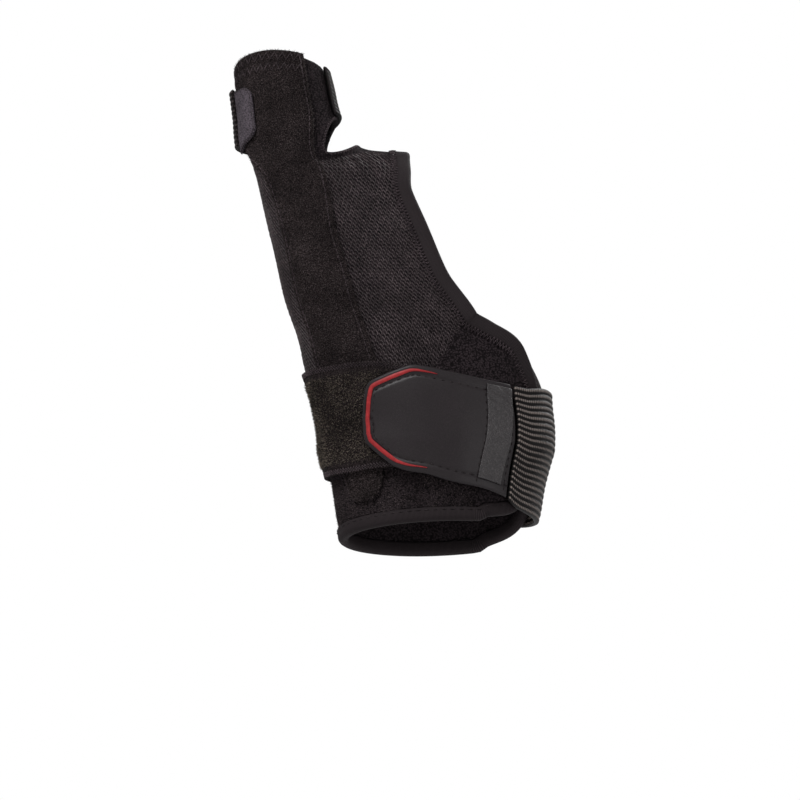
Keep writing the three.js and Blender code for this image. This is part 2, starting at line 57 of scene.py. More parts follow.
def rows_of(names: str, text: str) -> list[dict[str, float]]:
    """Reads a table written as words.

    Args:
        names: the column names.
        text: one line of numbers for each row.

    Returns:
        One dictionary for each row.
    """
    keys = names.split()
    return [dict(zip(keys, map(float, line.split()))) for line in text.strip().split("\n")]


class SmoothCurve:
    """A smooth curve through given points that never swings past them."""

    def __init__(self, knots: list[float], values: list[float]) -> None:
        """Works out the slopes at the points.

        Args:
            knots: where the points are, in either order.
            values: the values there.
        """
        self.sign = -1.0 if knots[0] > knots[1] else 1.0
        self.knots = self.sign * np.array(knots)
        self.values = np.array(values)
        steps = np.diff(self.values) / np.diff(self.knots)
        slopes = np.concatenate([[steps[0]], np.zeros(len(values) - 2), [steps[-1]]])
        for i in range(1, len(values) - 1):
            if steps[i - 1] * steps[i] > 0:
                slopes[i] = 2 * steps[i - 1] * steps[i] / (steps[i - 1] + steps[i])
        self.slopes = slopes

    def __call__(self, at: Grid) -> Grid:
        """Returns the curve's values at the given places."""
        x = self.sign * np.asarray(at, float)
        i = np.clip(np.searchsorted(self.knots, x) - 1, 0, len(self.knots) - 2)
        width = self.knots[i + 1] - self.knots[i]
        t = np.clip((x - self.knots[i]) / width, 0, 1)
        t2, t3 = t * t, t * t * t
        return (
            (2 * t3 - 3 * t2 + 1) * self.values[i]
            + (t3 - 2 * t2 + t) * width * self.slopes[i]
            + (3 * t2 - 2 * t3) * self.values[i + 1]
            + (t3 - t2) * width * self.slopes[i + 1]
        )


def curves_of(rows: list[dict[str, float]], key: str | None = None) -> dict[str, SmoothCurve]:
    """Makes a curve for every column of a table.

    Args:
        rows: the table.
        key: the column that the curves run over, or None for the row number.

    Returns:
        A curve for each other column.
    """
    knots = [row[key] if key else float(i) for i, row in enumerate(rows)]
    return {n: SmoothCurve(knots, [row[n] for row in rows]) for n in rows[0] if n != key}


@dataclass
class WornForm:
    """The hollow that the splint is worn on, in millimetres, as sections from the forearm to the thumb."""

    wrist_width: float = 77
    wrist_depth: float = 45
    thumb_width: float = 24.3
    thumb_depth: float = 24
    thumb_rise: float = 143
    cuff_drop: float = 27
    thumb_offset: float = 56
    thumb_forward: float = 9
    web_bridge: float = 14.5
    web_hole_height: float = 13.5
    web_hole_half_angle: float = 58
    sections: list[dict[str, float]] = field(default_factory=lambda: rows_of(*SECTION_TABLE))
    folds: list[dict[str, float]] = field(default_factory=lambda: rows_of(*FOLD_TABLE))

    def __post_init__(self) -> None:
        """Works out the curves and the levels of the web."""
        self.curves = curves_of(self.sections)
        self.top = len(self.sections) - 1.0
        web = float(WEB_ROW)
        edge_x = self.section(web)["x"] + self.section(web)["back_edge"]
        reach = lambda level: -(self.section(level)["x"] + self.section(level)["ulnar"])
        self.saddle = self.solve(-edge_x, reach, web, web + 3)
        self.bridge = self.solve(self.web_bridge - edge_x, reach, web, web + 3)
        height = lambda level: self.section(level)["height"]
        self.hole_top = self.solve(height(self.bridge) + self.web_hole_height, height, self.bridge, self.top)

    @staticmethod
    def solve(value: Grid, f: Callable[[Grid], Grid], low: float, high: float) -> Grid:
        """Finds where an increasing function reaches a value."""
        lo = np.full_like(np.asarray(value, float), low)
        hi = np.full_like(lo, high)
        for _ in range(34):
            middle = (lo + hi) / 2
            below = f(middle) < value
            lo, hi = np.where(below, middle, lo), np.where(below, hi, middle)
        return (lo + hi) / 2

    def section(self, level: Grid) -> dict[str, Grid]:
        """Returns the section's sizes in millimetres at a level, which counts the table's rows."""
        s = {n: c(level) for n, c in self.curves.items()}
        half_width = (self.wrist_width + (self.thumb_width - self.wrist_width) * s["to_thumb"]) / 2
        half_depth = (self.wrist_depth + (self.thumb_depth - self.wrist_depth) * s["to_thumb"]) / 2
        return {
            "height": s["rise"] * np.where(s["rise"] < 0, self.cuff_drop, self.thumb_rise),
            "x": -self.thumb_offset * s["axis"],
            "y": self.thumb_forward * s["forward"],
            "radial": s["radial"] * half_width,
            "ulnar": s["ulnar"] * half_width,
            "dorsal": s["dorsal"] * half_depth,
            "palmar": s["palmar"] * half_depth,
            "back_edge": s["back_edge"] * half_width,
            "palm_edge": s["palm_edge"] * half_width,
            "power": s["power"],
            "side_tilt": s["side_tilt"],
            "palm_tilt": s["palm_tilt"],
            "ridge": s["ridge"] * self.thumb_depth,
        }

    def pressed(self, angle: Grid, height: Grid) -> Grid:
        """Returns how far the folds press the surface in."""
        total = np.zeros(np.broadcast(angle, height).shape)
        for fold in self.folds:
            up = height / self.thumb_rise - fold["rise"]
            turn = (angle - fold["angle"] - fold["lean"] * up + 180) % 360 - 180
            total = total + fold["depth"] * self.thumb_depth * np.exp(-((turn / fold["width"]) ** 2) - (up / fold["length"]) ** 2)
        return total

    def skin(self, angle: Grid, level: Grid) -> Grid:
        """Returns points of the hollow's own surface."""
        s = self.section(level)
        c, d = np.cos(np.radians(angle)), np.sin(np.radians(angle))
        bend = 2 / np.where(c > 0, s["power"], 2.0)
        across = np.where(c > 0, s["ulnar"], s["radial"]) * np.sign(c) * np.abs(c) ** bend
        through = -np.where(d > 0, s["dorsal"], s["palmar"]) * np.sign(d) * np.abs(d) ** bend
        z = s["height"] + s["side_tilt"] * across + s["palm_tilt"] * through + s["ridge"] * np.maximum(c, 0) ** 2
        squeeze = 1 - self.pressed(angle, s["height"]) / np.hypot(across, through)
        return np.stack([s["x"] + across * squeeze, s["y"] + through * squeeze, z], -1)

    def outward(self, angle: Grid, level: Grid) -> Grid:
        """Returns the surface's outward directions."""
        around = self.skin(angle + 1.5, level) - self.skin(angle - 1.5, level)
        up = self.skin(angle, np.minimum(self.top, level + 0.04)) - self.skin(angle, np.maximum(0, level - 0.04))
        n = np.cross(up, around)
        return n / np.linalg.norm(n, axis=-1, keepdims=True)

    def over(self, angle: Grid, level: Grid, height: Grid) -> Grid:
        """Returns points at a height over the hollow's surface."""
        angle, level, height = np.broadcast_arrays(
            np.asarray(angle, float), np.asarray(level, float), np.asarray(height, float)
        )
        return self.skin(angle, level) + self.outward(angle, level) * height[..., None]

    def level_at(self, angle: Grid, z: Grid) -> Grid:
        """Returns the level at which the surface reaches a height z at an angle."""
        angle, z = np.broadcast_arrays(np.asarray(angle, float), np.asarray(z, float))
        return self.solve(z, lambda level: self.skin(angle, level)[..., 2], 0.0, self.top)

    def edges(self, level: Grid) -> tuple[Grid, Grid]:
        """Returns the angles at which the wrap's cloth starts and ends at a level."""
        level = np.asarray(level, float)
        s = self.section(level)

        def edge(distance: Grid) -> Grid:
            """Returns the angle where the surface lies a distance from the section's centre."""
            share = np.clip(distance / s["ulnar"], 0, 1)
            return np.degrees(np.arccos(share ** (s["power"] / 2)))

        span = np.clip((level - self.bridge) / (self.hole_top - self.bridge), 0, 1)
        half = self.web_hole_half_angle * np.sqrt(np.maximum(0, 1 - (2 * np.sqrt(span) - 1) ** 2))
        shut = (level >= self.hole_top) | ((level >= self.saddle) & (level <= self.bridge))
        start = np.where(level > self.bridge, half, edge(s["back_edge"]))
        end = np.where(level > self.bridge, half, edge(s["palm_edge"]))
        return np.where(shut, 0.0, start), 360 - np.where(shut, 0.0, end)


SECTION_TABLE = ("rise to_thumb axis forward radial ulnar dorsal palmar power side_tilt palm_tilt back_edge palm_edge ridge", """-1.7 0 0 0 0.805 0.79 0.91 0.91 2.2 0.04 -0.14 0.39 0.39 0
-1 0 0 0 0.836 0.82 0.947 0.947 2.2 0.04 -0.14 0.39 0.39 0
-0.85 0 0 0 0.857 0.844 0.955 0.955 2.2 0.035 -0.12 0.65 0.68 0
-0.5 0 0 0 0.896 0.883 0.978 0.978 2.2 0.02 -0.07 0.805 0.857 0
0 0 0 0 0.98 0.974 1 1 2.2 0 0 0.85 0.943 0
0.115 0 0.035 0 0.987 1.005 1 1.067 2.2 0 0 0.874 0.965 0
0.222 0.07 0.112 0.11 1.052 1.171 1.034 1.139 2.2 0 0 0.894 0.958 0
0.265 0.11 0.16 0.144 1.042 1.305 1.06 1.188 2.2 0 0 0.754 0.781 0
0.302 0.14 0.205 0.178 1.033 1.439 1.075 1.208 2.2 0 0 0.611 0.611 0
0.388 0.25 0.341 0.28 1.02 1.657 1.13 1.256 2.2 0 0 0.621 0.621 0
0.547 0.45 0.561 0.39 0.954 2.037 1.18 1.264 2.1 0 0.03 0.846 0.846 0
0.657 0.62 0.701 0.39 0.963 2.061 1.19 1.25 1.7 0 0.08 1.116 1.116 0.02
0.713 0.7 0.766 0.39 0.977 2.004 1.175 1.22 1.35 0 0.15 1.388 1.388 0.06
0.732 0.74 0.803 0.39 0.966 1.873 1.156 1.204 1.15 0 0.22 1.557 1.557 0.115
0.743 0.76 0.822 0.4 0.959 1.171 1.15 1.186 1.3 0 0.25 1.656 1.656 0.113
0.758 0.8 0.859 0.44 0.95 0.981 1.135 1.135 1.8 0 0.2 1.755 1.755 0.15
0.838 0.9 0.935 0.56 0.932 1.035 1.073 1.11 2 -0.03 0 2 2 0.04
0.922 1 0.974 0.78 1.077 1.195 1.083 1.083 2 -0.08 -0.15 2 2 0
0.994 1 1 1 1.046 1.125 1 1 2 -0.11 -0.28 2 2 0""")
FOLD_TABLE = ("angle rise width length lean depth", """72 0.67 15 0.091 -86 0.0625
94 0.64 7 0.112 -72 -0.029
128 0.33 16 0.063 0 0.025
250 0.3 28 0.035 172 0.054
262 0.39 26 0.035 215 0.046
240 0.22 30 0.035 114 -0.029
292 0.66 16 0.091 86 0.058
60 0.285 22 0.035 -143 0.033""")
POCKET_TABLE = ("rise thumb_side hand_side", """-0.12 148 121
0 150 118
0.192 153 113
0.29 153 112
0.438 149 104.5
0.517 146 101
0.637 143 92
0.723 147 84
0.764 160 75
0.861 190 62
0.994 196 62""")
LOOP_TABLE = ("angle rise width lift", """84 0.163 0.94 1
95 0.165 0.965 1
116 0.233 0.98 1
140 0.226 1 1
154 0.23 1 1
168 0.235 0.995 0.45
180 0.243 0.985 0.05
200 0.235 0.98 0
225 0.13 0.98 0
258 0 1 0""")
ELASTIC_TABLE = ("angle rise width lift", """46.4 -0.015 0.95 1
35 -0.055 1.02 0.8
16 -0.06 1.09 0.8
0 -0.07 1.1 0.8
-30 -0.06 1.08 0.8
-60 -0.04 1.04 0.6
-100 0 0.96 0""")
PATCH_TABLE = ("angle top bottom lift", """126.5 0.36 0.06 1
125 0.58 -0.07 1
123 0.79 -0.15 1
121 0.94 -0.22 1
118.6 1.02 -0.3 1
111 1.12 -0.51 1
103.8 1.2 -0.6 1
95.2 1.27 -0.65 1
81.2 1.15 -0.79 0.95
66.2 1.05 -0.87 0.6
48.5 0.975 -1 0.3""")
THUMB_STRAP_TABLE = ("angle rise width lift", """26 0.921 0.805 0
0 0.917 0.78 0
-45 0.902 0.8 0
-90 0.88 0.855 0
-135 0.866 0.9 0.2
-160 0.864 0.925 1.05
-180 0.864 0.93 1.5
-191 0.864 0.93 1.3""")
TAB_TABLE = ("angle top bottom", """168 1.05 -0.98
156 1.02 -0.81
145 1 -0.72
137 0.9 -0.6
132 0.7 -0.42""")
CUFF_ROW, STRAP_ROW, WEB_ROW = 1, 4, 13


class Pattern(Enum):
    """The relief of a finish."""

    MESH = "open mesh ground"
    PILE = "brushed loops"
    TAPE = "fine cross ribs of a tape"
    RIB = "beads on elastic ribs"
    GRAIN = "leather grain"
    HOOKS = "stiff short hooks"
    THREAD = "twisted thread"
    PLAIN = "smooth"


@dataclass(frozen=True)
class Finish:
    """One cloth, leather or thread finish.

    pitch is the size of one repeat of its relief and depth the relief's height, both in millimetres. The first colour
    is the base tone, which also stands for painted shade in the relief's low parts; the second, lighter colour is a
    painted highlight on the relief's raised parts, varied by soft blotches of uneven tone.
    """

    name: str
    colour: tuple[float, float, float]
    highlight_and_tone: tuple[float, float, float]
    roughness: float
    pattern: Pattern
    pitch: float
    depth: float
    sheen: float = 0.0
    specular: float = 0.03

    def material(self) -> bpy.types.Material:
        """Returns the finish's material, which is built once."""
        found = bpy.data.materials.get(f"{self.name}_finish")
        if found:
            return found
        made = bpy.data.materials.new(f"{self.name}_finish")
        made.use_nodes = True
        tree = made.node_tree
        shader = tree.nodes["Principled BSDF"]
        shader.inputs["Roughness"].default_value = self.roughness
        shader.inputs["Sheen Weight"].default_value = self.sheen
        shader.inputs["Sheen Roughness"].default_value = 0.45
        shader.inputs["Specular IOR Level"].default_value = self.specular
        where = tree.nodes.new("ShaderNodeTexCoord").outputs["Object"]
        height = self._relief(tree, where)
        self._colour(tree, where, height, shader)
        bump = tree.nodes.new("ShaderNodeBump")
        bump.inputs["Strength"].default_value = 1.0
        bump.inputs["Distance"].default_value = self.depth * MM
        tree.links.new(height, bump.inputs["Height"])
        tree.links.new(bump.outputs["Normal"], shader.inputs["Normal"])
        return made

    def _colour(self, tree: bpy.types.NodeTree, where, height, shader: bpy.types.Node) -> None:
        """Mixes the two colours by the relief and by soft blotches: the lighter colour on the relief's raised parts is
        a painted highlight, the darker one in its low parts a painted shade, and the blotches are uneven tone.

        Args:
            tree: the material's nodes.
            where: the coordinates' socket.
            height: the relief's socket.
            shader: the surface shader.
        """
        blotch = tree.nodes.new("ShaderNodeTexNoise")
        blotch.inputs["Scale"].default_value = 90.0
        blotch.inputs["Detail"].default_value = 6.0
        tree.links.new(where, blotch.inputs["Vector"])
        soften = tree.nodes.new("ShaderNodeMath")
        soften.operation = "MULTIPLY_ADD"
        soften.inputs[1].default_value = 0.7
        soften.inputs[2].default_value = 0.65
        both = tree.nodes.new("ShaderNodeMath")
        both.operation = "MULTIPLY"
        tree.links.new(blotch.outputs["Fac"], soften.inputs[0])
        tree.links.new(soften.outputs[0], both.inputs[0])
        tree.links.new(height, both.inputs[1])
        # painted light: raised relief gets the lighter colour as a painted highlight, low relief the darker colour as
        # painted shade
        ramp = tree.nodes.new("ShaderNodeValToRGB")
        ramp.color_ramp.elements[0].position = 0.42
        ramp.color_ramp.elements[1].position = 0.74
        ramp.color_ramp.elements[0].color = (*self.colour, 1)
        ramp.color_ramp.elements[1].color = (*self.highlight_and_tone, 1)
        tree.links.new(both.outputs[0], ramp.inputs["Fac"])
        tree.links.new(ramp.outputs["Color"], shader.inputs["Base Color"])

    def _relief(self, tree: bpy.types.NodeTree, where) -> bpy.types.NodeSocket:
        """Makes the relief's height.

        Args:
            tree: the material's nodes.
            where: the coordinates' socket.

        Returns:
            The height's socket, from 0 to 1.
        """
        scale = 1 / (self.pitch * MM)
        if self.pattern in (Pattern.PILE, Pattern.GRAIN, Pattern.HOOKS, Pattern.MESH):
            cells = tree.nodes.new("ShaderNodeTexVoronoi")
            cells.inputs["Scale"].default_value = scale
            cells.inputs["Randomness"].default_value = 0.6 if self.pattern is Pattern.HOOKS else 1.0
            tree.links.new(where, cells.inputs["Vector"])
            fine = self._noise(tree, where, scale * 2.3)
            near = tree.nodes.new("ShaderNodeMath")
            near.operation = "MULTIPLY_ADD"
            tree.links.new(cells.outputs["Distance"], near.inputs[0])
            mix = tree.nodes.new("ShaderNodeMath")
            tree.links.new(near.outputs[0], mix.inputs[0])
            tree.links.new(fine, mix.inputs[1])
            if self.pattern is Pattern.GRAIN:
                near.inputs[1].default_value = 0.9
                near.inputs[2].default_value = -0.45
                mix.operation = "ADD"
            else:
                near.inputs[1].default_value = -2.0
                near.inputs[2].default_value = 2.1
                mix.operation = "MULTIPLY"
            return mix.outputs[0]
        if self.pattern in (Pattern.TAPE, Pattern.RIB):
            beads = self._wave(tree, self.pitch, "X", 1.2)
            if self.pattern is Pattern.TAPE:
                return beads
            grooves = self._wave(tree, RIB_PITCH, "Y", 0.0)
            soft = tree.nodes.new("ShaderNodeMath")
            soft.operation = "MULTIPLY_ADD"
            soft.inputs[1].default_value = 0.5
            soft.inputs[2].default_value = 0.45
            mix = tree.nodes.new("ShaderNodeMath")
            mix.operation = "MULTIPLY"
            tree.links.new(beads, soft.inputs[0])
            tree.links.new(soft.outputs[0], mix.inputs[0])
            tree.links.new(grooves, mix.inputs[1])
            return mix.outputs[0]
        return self._noise(tree, where, scale)

    def _wave(self, tree: bpy.types.NodeTree, pitch: float, axis: str, wander: float) -> bpy.types.NodeSocket:
        """Returns the output of waves a pitch apart along or across the cloth, lowest at its edge."""
        cloth = tree.nodes.new("ShaderNodeUVMap")
        cloth.uv_map = "cloth"
        wave = tree.nodes.new("ShaderNodeTexWave")
        wave.bands_direction = axis
        wave.inputs["Scale"].default_value = math.pi / 10 / pitch
        wave.inputs["Distortion"].default_value = wander
        wave.inputs["Detail Scale"].default_value = 2.0
        tree.links.new(cloth.outputs["UV"], wave.inputs["Vector"])
        return wave.outputs["Fac"]

    def _noise(self, tree: bpy.types.NodeTree, where, scale: float) -> bpy.types.NodeSocket:
        """Returns the output of a noise of a given scale."""
        noise = tree.nodes.new("ShaderNodeTexNoise")
        noise.inputs["Scale"].default_value = scale
        noise.inputs["Detail"].default_value = 3.0
        tree.links.new(where, noise.inputs["Vector"])
        return noise.outputs["Fac"]


# The second colour of each finish is a painted highlight on its relief's raised parts, strongest on the elastic's rib
# tops, the fibres and the threads; the first colour also stands for painted shade in the relief's low parts.
MESH_GROUND = Finish("mesh_ground", (0.0021, 0.0016, 0.0018), (0.0124, 0.0095, 0.0105), 0.95, Pattern.MESH, 0.7, 0.25)
MESH_YARN = Finish("mesh_yarn", (0.0079, 0.006, 0.0063), (0.052, 0.0405, 0.0425), 0.5, Pattern.THREAD, 0.5, 0.1, 0, 0.08)
LOOP_CLOTH = Finish("loop_cloth", (0.0023, 0.0018, 0.0018), (0.0136, 0.0105, 0.0105), 0.95, Pattern.PILE, 0.5, 0.3)
LOOP_FIBRE = Finish("loop_fibre", (0.004, 0.003, 0.0031), (0.07, 0.0555, 0.0565), 0.6, Pattern.THREAD, 0.45, 0.05)
BAND_FIBRE = Finish("band_fibre", (0.0032, 0.0025, 0.0021), (0.113, 0.094, 0.075), 0.6, Pattern.THREAD, 0.5, 0.05)
EDGE_TAPE = Finish("edge_tape", (0.0045, 0.0035, 0.0038), (0.0124, 0.0097, 0.0105), 0.7, Pattern.TAPE, 0.42, 0.07)
ELASTIC_WEB = Finish("elastic_web", (0.0026, 0.0021, 0.0021), (0.083, 0.0695, 0.0632), 0.55, Pattern.RIB, 0.95, 0.25, 0, 0.06)
THUMB_ELASTIC = Finish("thumb_elastic_web", (0.0034, 0.0027, 0.0028), (0.0226, 0.018, 0.018), 0.6, Pattern.RIB, 0.8, 0.15)
PATCH_LEATHER = Finish("patch_leather", (0.0056, 0.0044, 0.0049), (0.0088, 0.007, 0.0077), 0.38, Pattern.GRAIN, 0.28, 0.03, 0, 0.09)
GRAIN_LEATHER = Finish("grain_leather", (0.0105, 0.0092, 0.0097), (0.019, 0.0168, 0.0174), 0.34, Pattern.GRAIN, 0.5, 0.16, 0, 0.16)
RED_TRIM = Finish("red_trim", (0.1, 0.0065, 0.0075), (0.15, 0.011, 0.012), 0.45, Pattern.PLAIN, 1.2, 0.03, 0, 0.08)
HOOK_TAB = Finish("hook_tab_grey", (0.01, 0.0083, 0.01), (0.046, 0.0385, 0.0455), 0.75, Pattern.HOOKS, 0.5, 0.16)
SEAM_THREAD = Finish("seam_thread", (0.0113, 0.0088, 0.0097), (0.0565, 0.044, 0.048), 0.6, Pattern.THREAD, 0.4, 0.06)
DARK_THREAD = Finish("dark_thread", (0.0034, 0.0027, 0.0029), (0.0226, 0.018, 0.019), 0.6, Pattern.THREAD, 0.4, 0.06)
FLOOR_PAINT = Finish("pale_floor", (0.8, 0.8, 0.8), (0.84, 0.84, 0.84), 0.9, Pattern.PLAIN, 40.0, 0.1)


def lengths(points: Grid, axis: int) -> Grid:
    """Returns the lengths run along one direction of a grid of points."""
    steps = np.linalg.norm(np.diff(points, axis=axis), axis=-1)
    start = np.zeros_like(np.take(steps, [0], axis=axis))
    return np.concatenate([start, np.cumsum(steps, axis=axis)], axis=axis)


def smooth_noise(u: Grid, v: Grid, size: float, seed: int) -> Grid:
    """Returns a gentle unevenness from -1 to 1, with lumps of a given size in millimetres."""
    rng = np.random.default_rng(seed)
    total = np.zeros(np.broadcast(u, v).shape)
    for _ in range(7):
        turn, phase = rng.uniform(0, 2 * math.pi, 2)
        pace = rng.uniform(0.6, 1.5) * 2 * math.pi / size
        total += np.sin((u * math.cos(turn) + v * math.sin(turn)) * pace + phase)
    return total / 7


@dataclass
class Maker:
    """Turns grids and lines of points in millimetres into finished objects."""

    def mesh(self, name: str, verts: Grid, faces: list, uv: Grid | None) -> bpy.types.Object:
        """Makes a mesh object with outward faces.

        Args:
            name: the object's name.
            verts: the points in millimetres.
            faces: the faces as lists of point numbers.
            uv: one cloth coordinate for each point, in millimetres.

        Returns:
            The new object.
        """
        data = bpy.data.meshes.new(name)
        data.from_pydata((verts * MM).tolist(), [], faces)
        if uv is not None:
            layer = data.uv_layers.new(name="cloth")
            index = np.empty(len(data.loops), int)
            data.loops.foreach_get("vertex_index", index)
            layer.data.foreach_set("uv", uv[index].astype(np.float32).ravel())
        made = bpy.data.objects.new(name, data)
        bpy.context.scene.collection.objects.link(made)
        return made

    def slab(
        self, name: str, outer: Grid, inner: Grid, uv: Grid, shut: Grid | None = None
    ) -> bpy.types.Object:
        """Makes a closed cloth from its outer and inner surfaces.

        Args:
            name: the object's name.
            outer: a grid of points.
            inner: a grid of points under them.
            uv: a grid of cloth coordinates.
            shut: which rows run all the way round, so their ends need no edge.

        Returns:
            The new object.
        """
        rows, cols = outer.shape[0], outer.shape[1]
        verts = np.concatenate([outer.reshape(-1, 3), inner.reshape(-1, 3)])
        base = rows * cols
        i, j = np.meshgrid(np.arange(rows - 1), np.arange(cols - 1), indexing="ij")
        a = (i * cols + j).ravel()
        top = np.stack([a, a + 1, a + cols + 1, a + cols], 1)
        low = np.stack([a, a + cols, a + cols + 1, a + 1], 1) + base
        walls = []
        for j0, flip in ((0, False), (cols - 1, True)):
            for r in range(rows - 1):
                if shut is not None and shut[r] and shut[r + 1]:
                    continue
                p, q = r * cols + j0, (r + 1) * cols + j0
                quad = [p + base, p, q, q + base]
                walls.append(quad[::-1] if flip else quad)
        for r, flip in ((0, True), (rows - 1, False)):
            for c in range(cols - 1):
                p = r * cols + c
                quad = [p + base, p, p + 1, p + 1 + base]
                walls.append(quad if flip else quad[::-1])
        faces = np.concatenate([top, low, np.array(walls)])
        x, y, z, w = (verts[faces[:, k]] for k in range(4))
        volume = (x * np.cross(y, z)).sum() + (x * np.cross(z, w)).sum()
        if volume < 0:
            faces = faces[:, ::-1]
        coords = np.tile(uv.reshape(-1, 2), (2, 1))
        made = self.mesh(name, verts, faces.tolist(), coords)
        self.weld(made)
        return made

    def weld(self, made: bpy.types.Object) -> None:
        """Joins points that lie on each other and shades the surface smoothly."""
        work = bmesh.new()
        work.from_mesh(made.data)
        bmesh.ops.remove_doubles(work, verts=work.verts, dist=1e-6)
        bmesh.ops.dissolve_degenerate(work, edges=work.edges, dist=1e-7)
        work.to_mesh(made.data)
        work.free()
        made.data.shade_smooth()

    def lines(self, name: str, threads: list[Grid]) -> bpy.types.Object:
        """Makes one object of open lines from lists of points."""
        verts = np.concatenate(threads) * MM
        edges, start = [], 0
        for thread in threads:
            edges += [(start + k, start + k + 1) for k in range(len(thread) - 1)]
            start += len(thread)
        data = bpy.data.meshes.new(name)
        data.from_pydata(verts.tolist(), edges, [])
        made = bpy.data.objects.new(name, data)
        bpy.context.scene.collection.objects.link(made)
        return made

    def finish(
        self, made: bpy.types.Object, finish: Finish, slot: str, nodes: tuple[str, ...] = (), fill: float | None = None
    ) -> bpy.types.Object:
        """Dresses a piece and ties it to the frame.

        Args:
            made: the piece.
            finish: its finish.
            slot: the record's material slot, which is not used.
            nodes: the CAD nodes that it stands for.
            fill: how full it is, where it is padded, which is not used.

        Returns:
            The piece.
        """
        made.data.materials.clear()
        made.data.materials.append(finish.material())
        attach(made, "root")
        if nodes:
            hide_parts(*nodes)
        log.info("%s: %d faces", made.name, len(made.data.polygons))
        return made


class NodeTrees:
    """The Geometry Nodes trees that thicken threads and raise a pile."""

    @staticmethod
    def _start(name: str, inputs: dict[str, tuple[str, float]]) -> tuple[bpy.types.NodeTree, bpy.types.Node]:
        """Makes a tree with named inputs.

        Args:
            name: the tree's name.
            inputs: the type and the value of each input, by name.

        Returns:
            The tree and its group input.
        """
        tree = bpy.data.node_groups.new(name, "GeometryNodeTree")
        tree.interface.new_socket("Geometry", in_out="INPUT", socket_type="NodeSocketGeometry")
        for label, (kind, value) in inputs.items():
            socket = tree.interface.new_socket(label, in_out="INPUT", socket_type=kind)
            if value is not None:
                socket.default_value = value
        tree.interface.new_socket("Geometry", in_out="OUTPUT", socket_type="NodeSocketGeometry")
        return tree, tree.nodes.new("NodeGroupInput")

    @staticmethod
    def _end(tree: bpy.types.NodeTree, start: bpy.types.Node, last) -> None:
        """Ends a tree in Realize Instances and Set Material."""
        real = tree.nodes.new("GeometryNodeRealizeInstances")
        dress = tree.nodes.new("GeometryNodeSetMaterial")
        out = tree.nodes.new("NodeGroupOutput")
        tree.links.new(last, real.inputs["Geometry"])
        tree.links.new(real.outputs["Geometry"], dress.inputs["Geometry"])
        tree.links.new(start.outputs["Material"], dress.inputs["Material"])
        tree.links.new(dress.outputs["Geometry"], out.inputs["Geometry"])

    @classmethod
    def thread(cls) -> bpy.types.NodeTree:
        """Returns the tree that turns lines into round threads."""
        found = bpy.data.node_groups.get("thread")
        if found:
            return found
        tree, start = cls._start(
            "thread",
            {
                "Radius": ("NodeSocketFloat", 0.0002),
                "Sides": ("NodeSocketInt", 4),
                "Material": ("NodeSocketMaterial", None),
            },
        )
        curve = tree.nodes.new("GeometryNodeMeshToCurve")
        circle = tree.nodes.new("GeometryNodeCurvePrimitiveCircle")
        sweep = tree.nodes.new("GeometryNodeCurveToMesh")
        sweep.inputs["Fill Caps"].default_value = True
        tree.links.new(start.outputs["Geometry"], curve.inputs["Mesh"])
        tree.links.new(start.outputs["Radius"], circle.inputs["Radius"])
        tree.links.new(start.outputs["Sides"], circle.inputs["Resolution"])
        tree.links.new(curve.outputs["Curve"], sweep.inputs["Curve"])
        tree.links.new(circle.outputs["Curve"], sweep.inputs["Profile Curve"])
        cls._end(tree, start, sweep.outputs["Mesh"])
        return tree

    @classmethod
    def pile(cls) -> bpy.types.NodeTree:
        """Returns the tree that stands short leaning fibres on a surface."""
        found = bpy.data.node_groups.get("pile")
        if found:
            return found
        tree, start = cls._start(
            "pile",
            {
                "Density": ("NodeSocketFloat", 2.5e6),
                "Length": ("NodeSocketFloat", 0.0008),
                "Width": ("NodeSocketFloat", 0.00009),
                "Seed": ("NodeSocketInt", 3),
                "Material": ("NodeSocketMaterial", None),
            },
        )
        spread = tree.nodes.new("GeometryNodeDistributePointsOnFaces")
        fibre = tree.nodes.new("GeometryNodeMeshCone")
        fibre.fill_type = "NONE"
        fibre.inputs["Vertices"].default_value = 3
        fibre.inputs["Radius Top"].default_value = 0.00003
        lean = tree.nodes.new("FunctionNodeRandomValue")
        lean.data_type = "FLOAT_VECTOR"
        lean.inputs["Min"].default_value = (-1.15, -1.15, -3.1)
        lean.inputs["Max"].default_value = (1.15, 1.15, 3.1)
        turn = tree.nodes.new("FunctionNodeEulerToRotation")
        rotate = tree.nodes.new("FunctionNodeRotateRotation")
        rotate.rotation_space = "LOCAL"
        stand = tree.nodes.new("GeometryNodeInstanceOnPoints")
        link = tree.links.new
        link(start.outputs["Geometry"], spread.inputs["Mesh"])
        link(start.outputs["Density"], spread.inputs["Density"])
        link(start.outputs["Seed"], spread.inputs["Seed"])
        link(start.outputs["Seed"], lean.inputs["Seed"])
        link(start.outputs["Length"], fibre.inputs["Depth"])
        link(start.outputs["Width"], fibre.inputs["Radius Bottom"])
        link(lean.outputs["Value"], turn.inputs["Euler"])
        link(spread.outputs["Rotation"], rotate.inputs["Rotation"])
        link(turn.outputs["Rotation"], rotate.inputs["Rotate By"])
        link(spread.outputs["Points"], stand.inputs["Points"])
        link(fibre.outputs["Mesh"], stand.inputs["Instance"])
        link(rotate.outputs["Rotation"], stand.inputs["Rotation"])
        cls._end(tree, start, stand.outputs["Instances"])
        return tree

    @staticmethod
    def run(made: bpy.types.Object, tree: bpy.types.NodeTree, values: dict) -> bpy.types.Object:
        """Runs a tree on an object and keeps the result as its plain mesh.

        Args:
            made: the object.
            tree: the tree.
            values: the inputs' values by name.

        Returns:
            The same object with its new mesh.
        """
        modifier = made.modifiers.new(tree.name, "NODES")
        modifier.node_group = tree
        for item in tree.interface.items_tree:
            if item.item_type == "SOCKET" and item.in_out == "INPUT" and item.name in values:
                modifier[item.identifier] = values[item.name]
        graph = bpy.context.evaluated_depsgraph_get()
        result = bpy.data.meshes.new_from_object(made.evaluated_get(graph))
        made.modifiers.remove(modifier)
        old = made.data
        made.data = result
        bpy.data.meshes.remove(old)
        return made


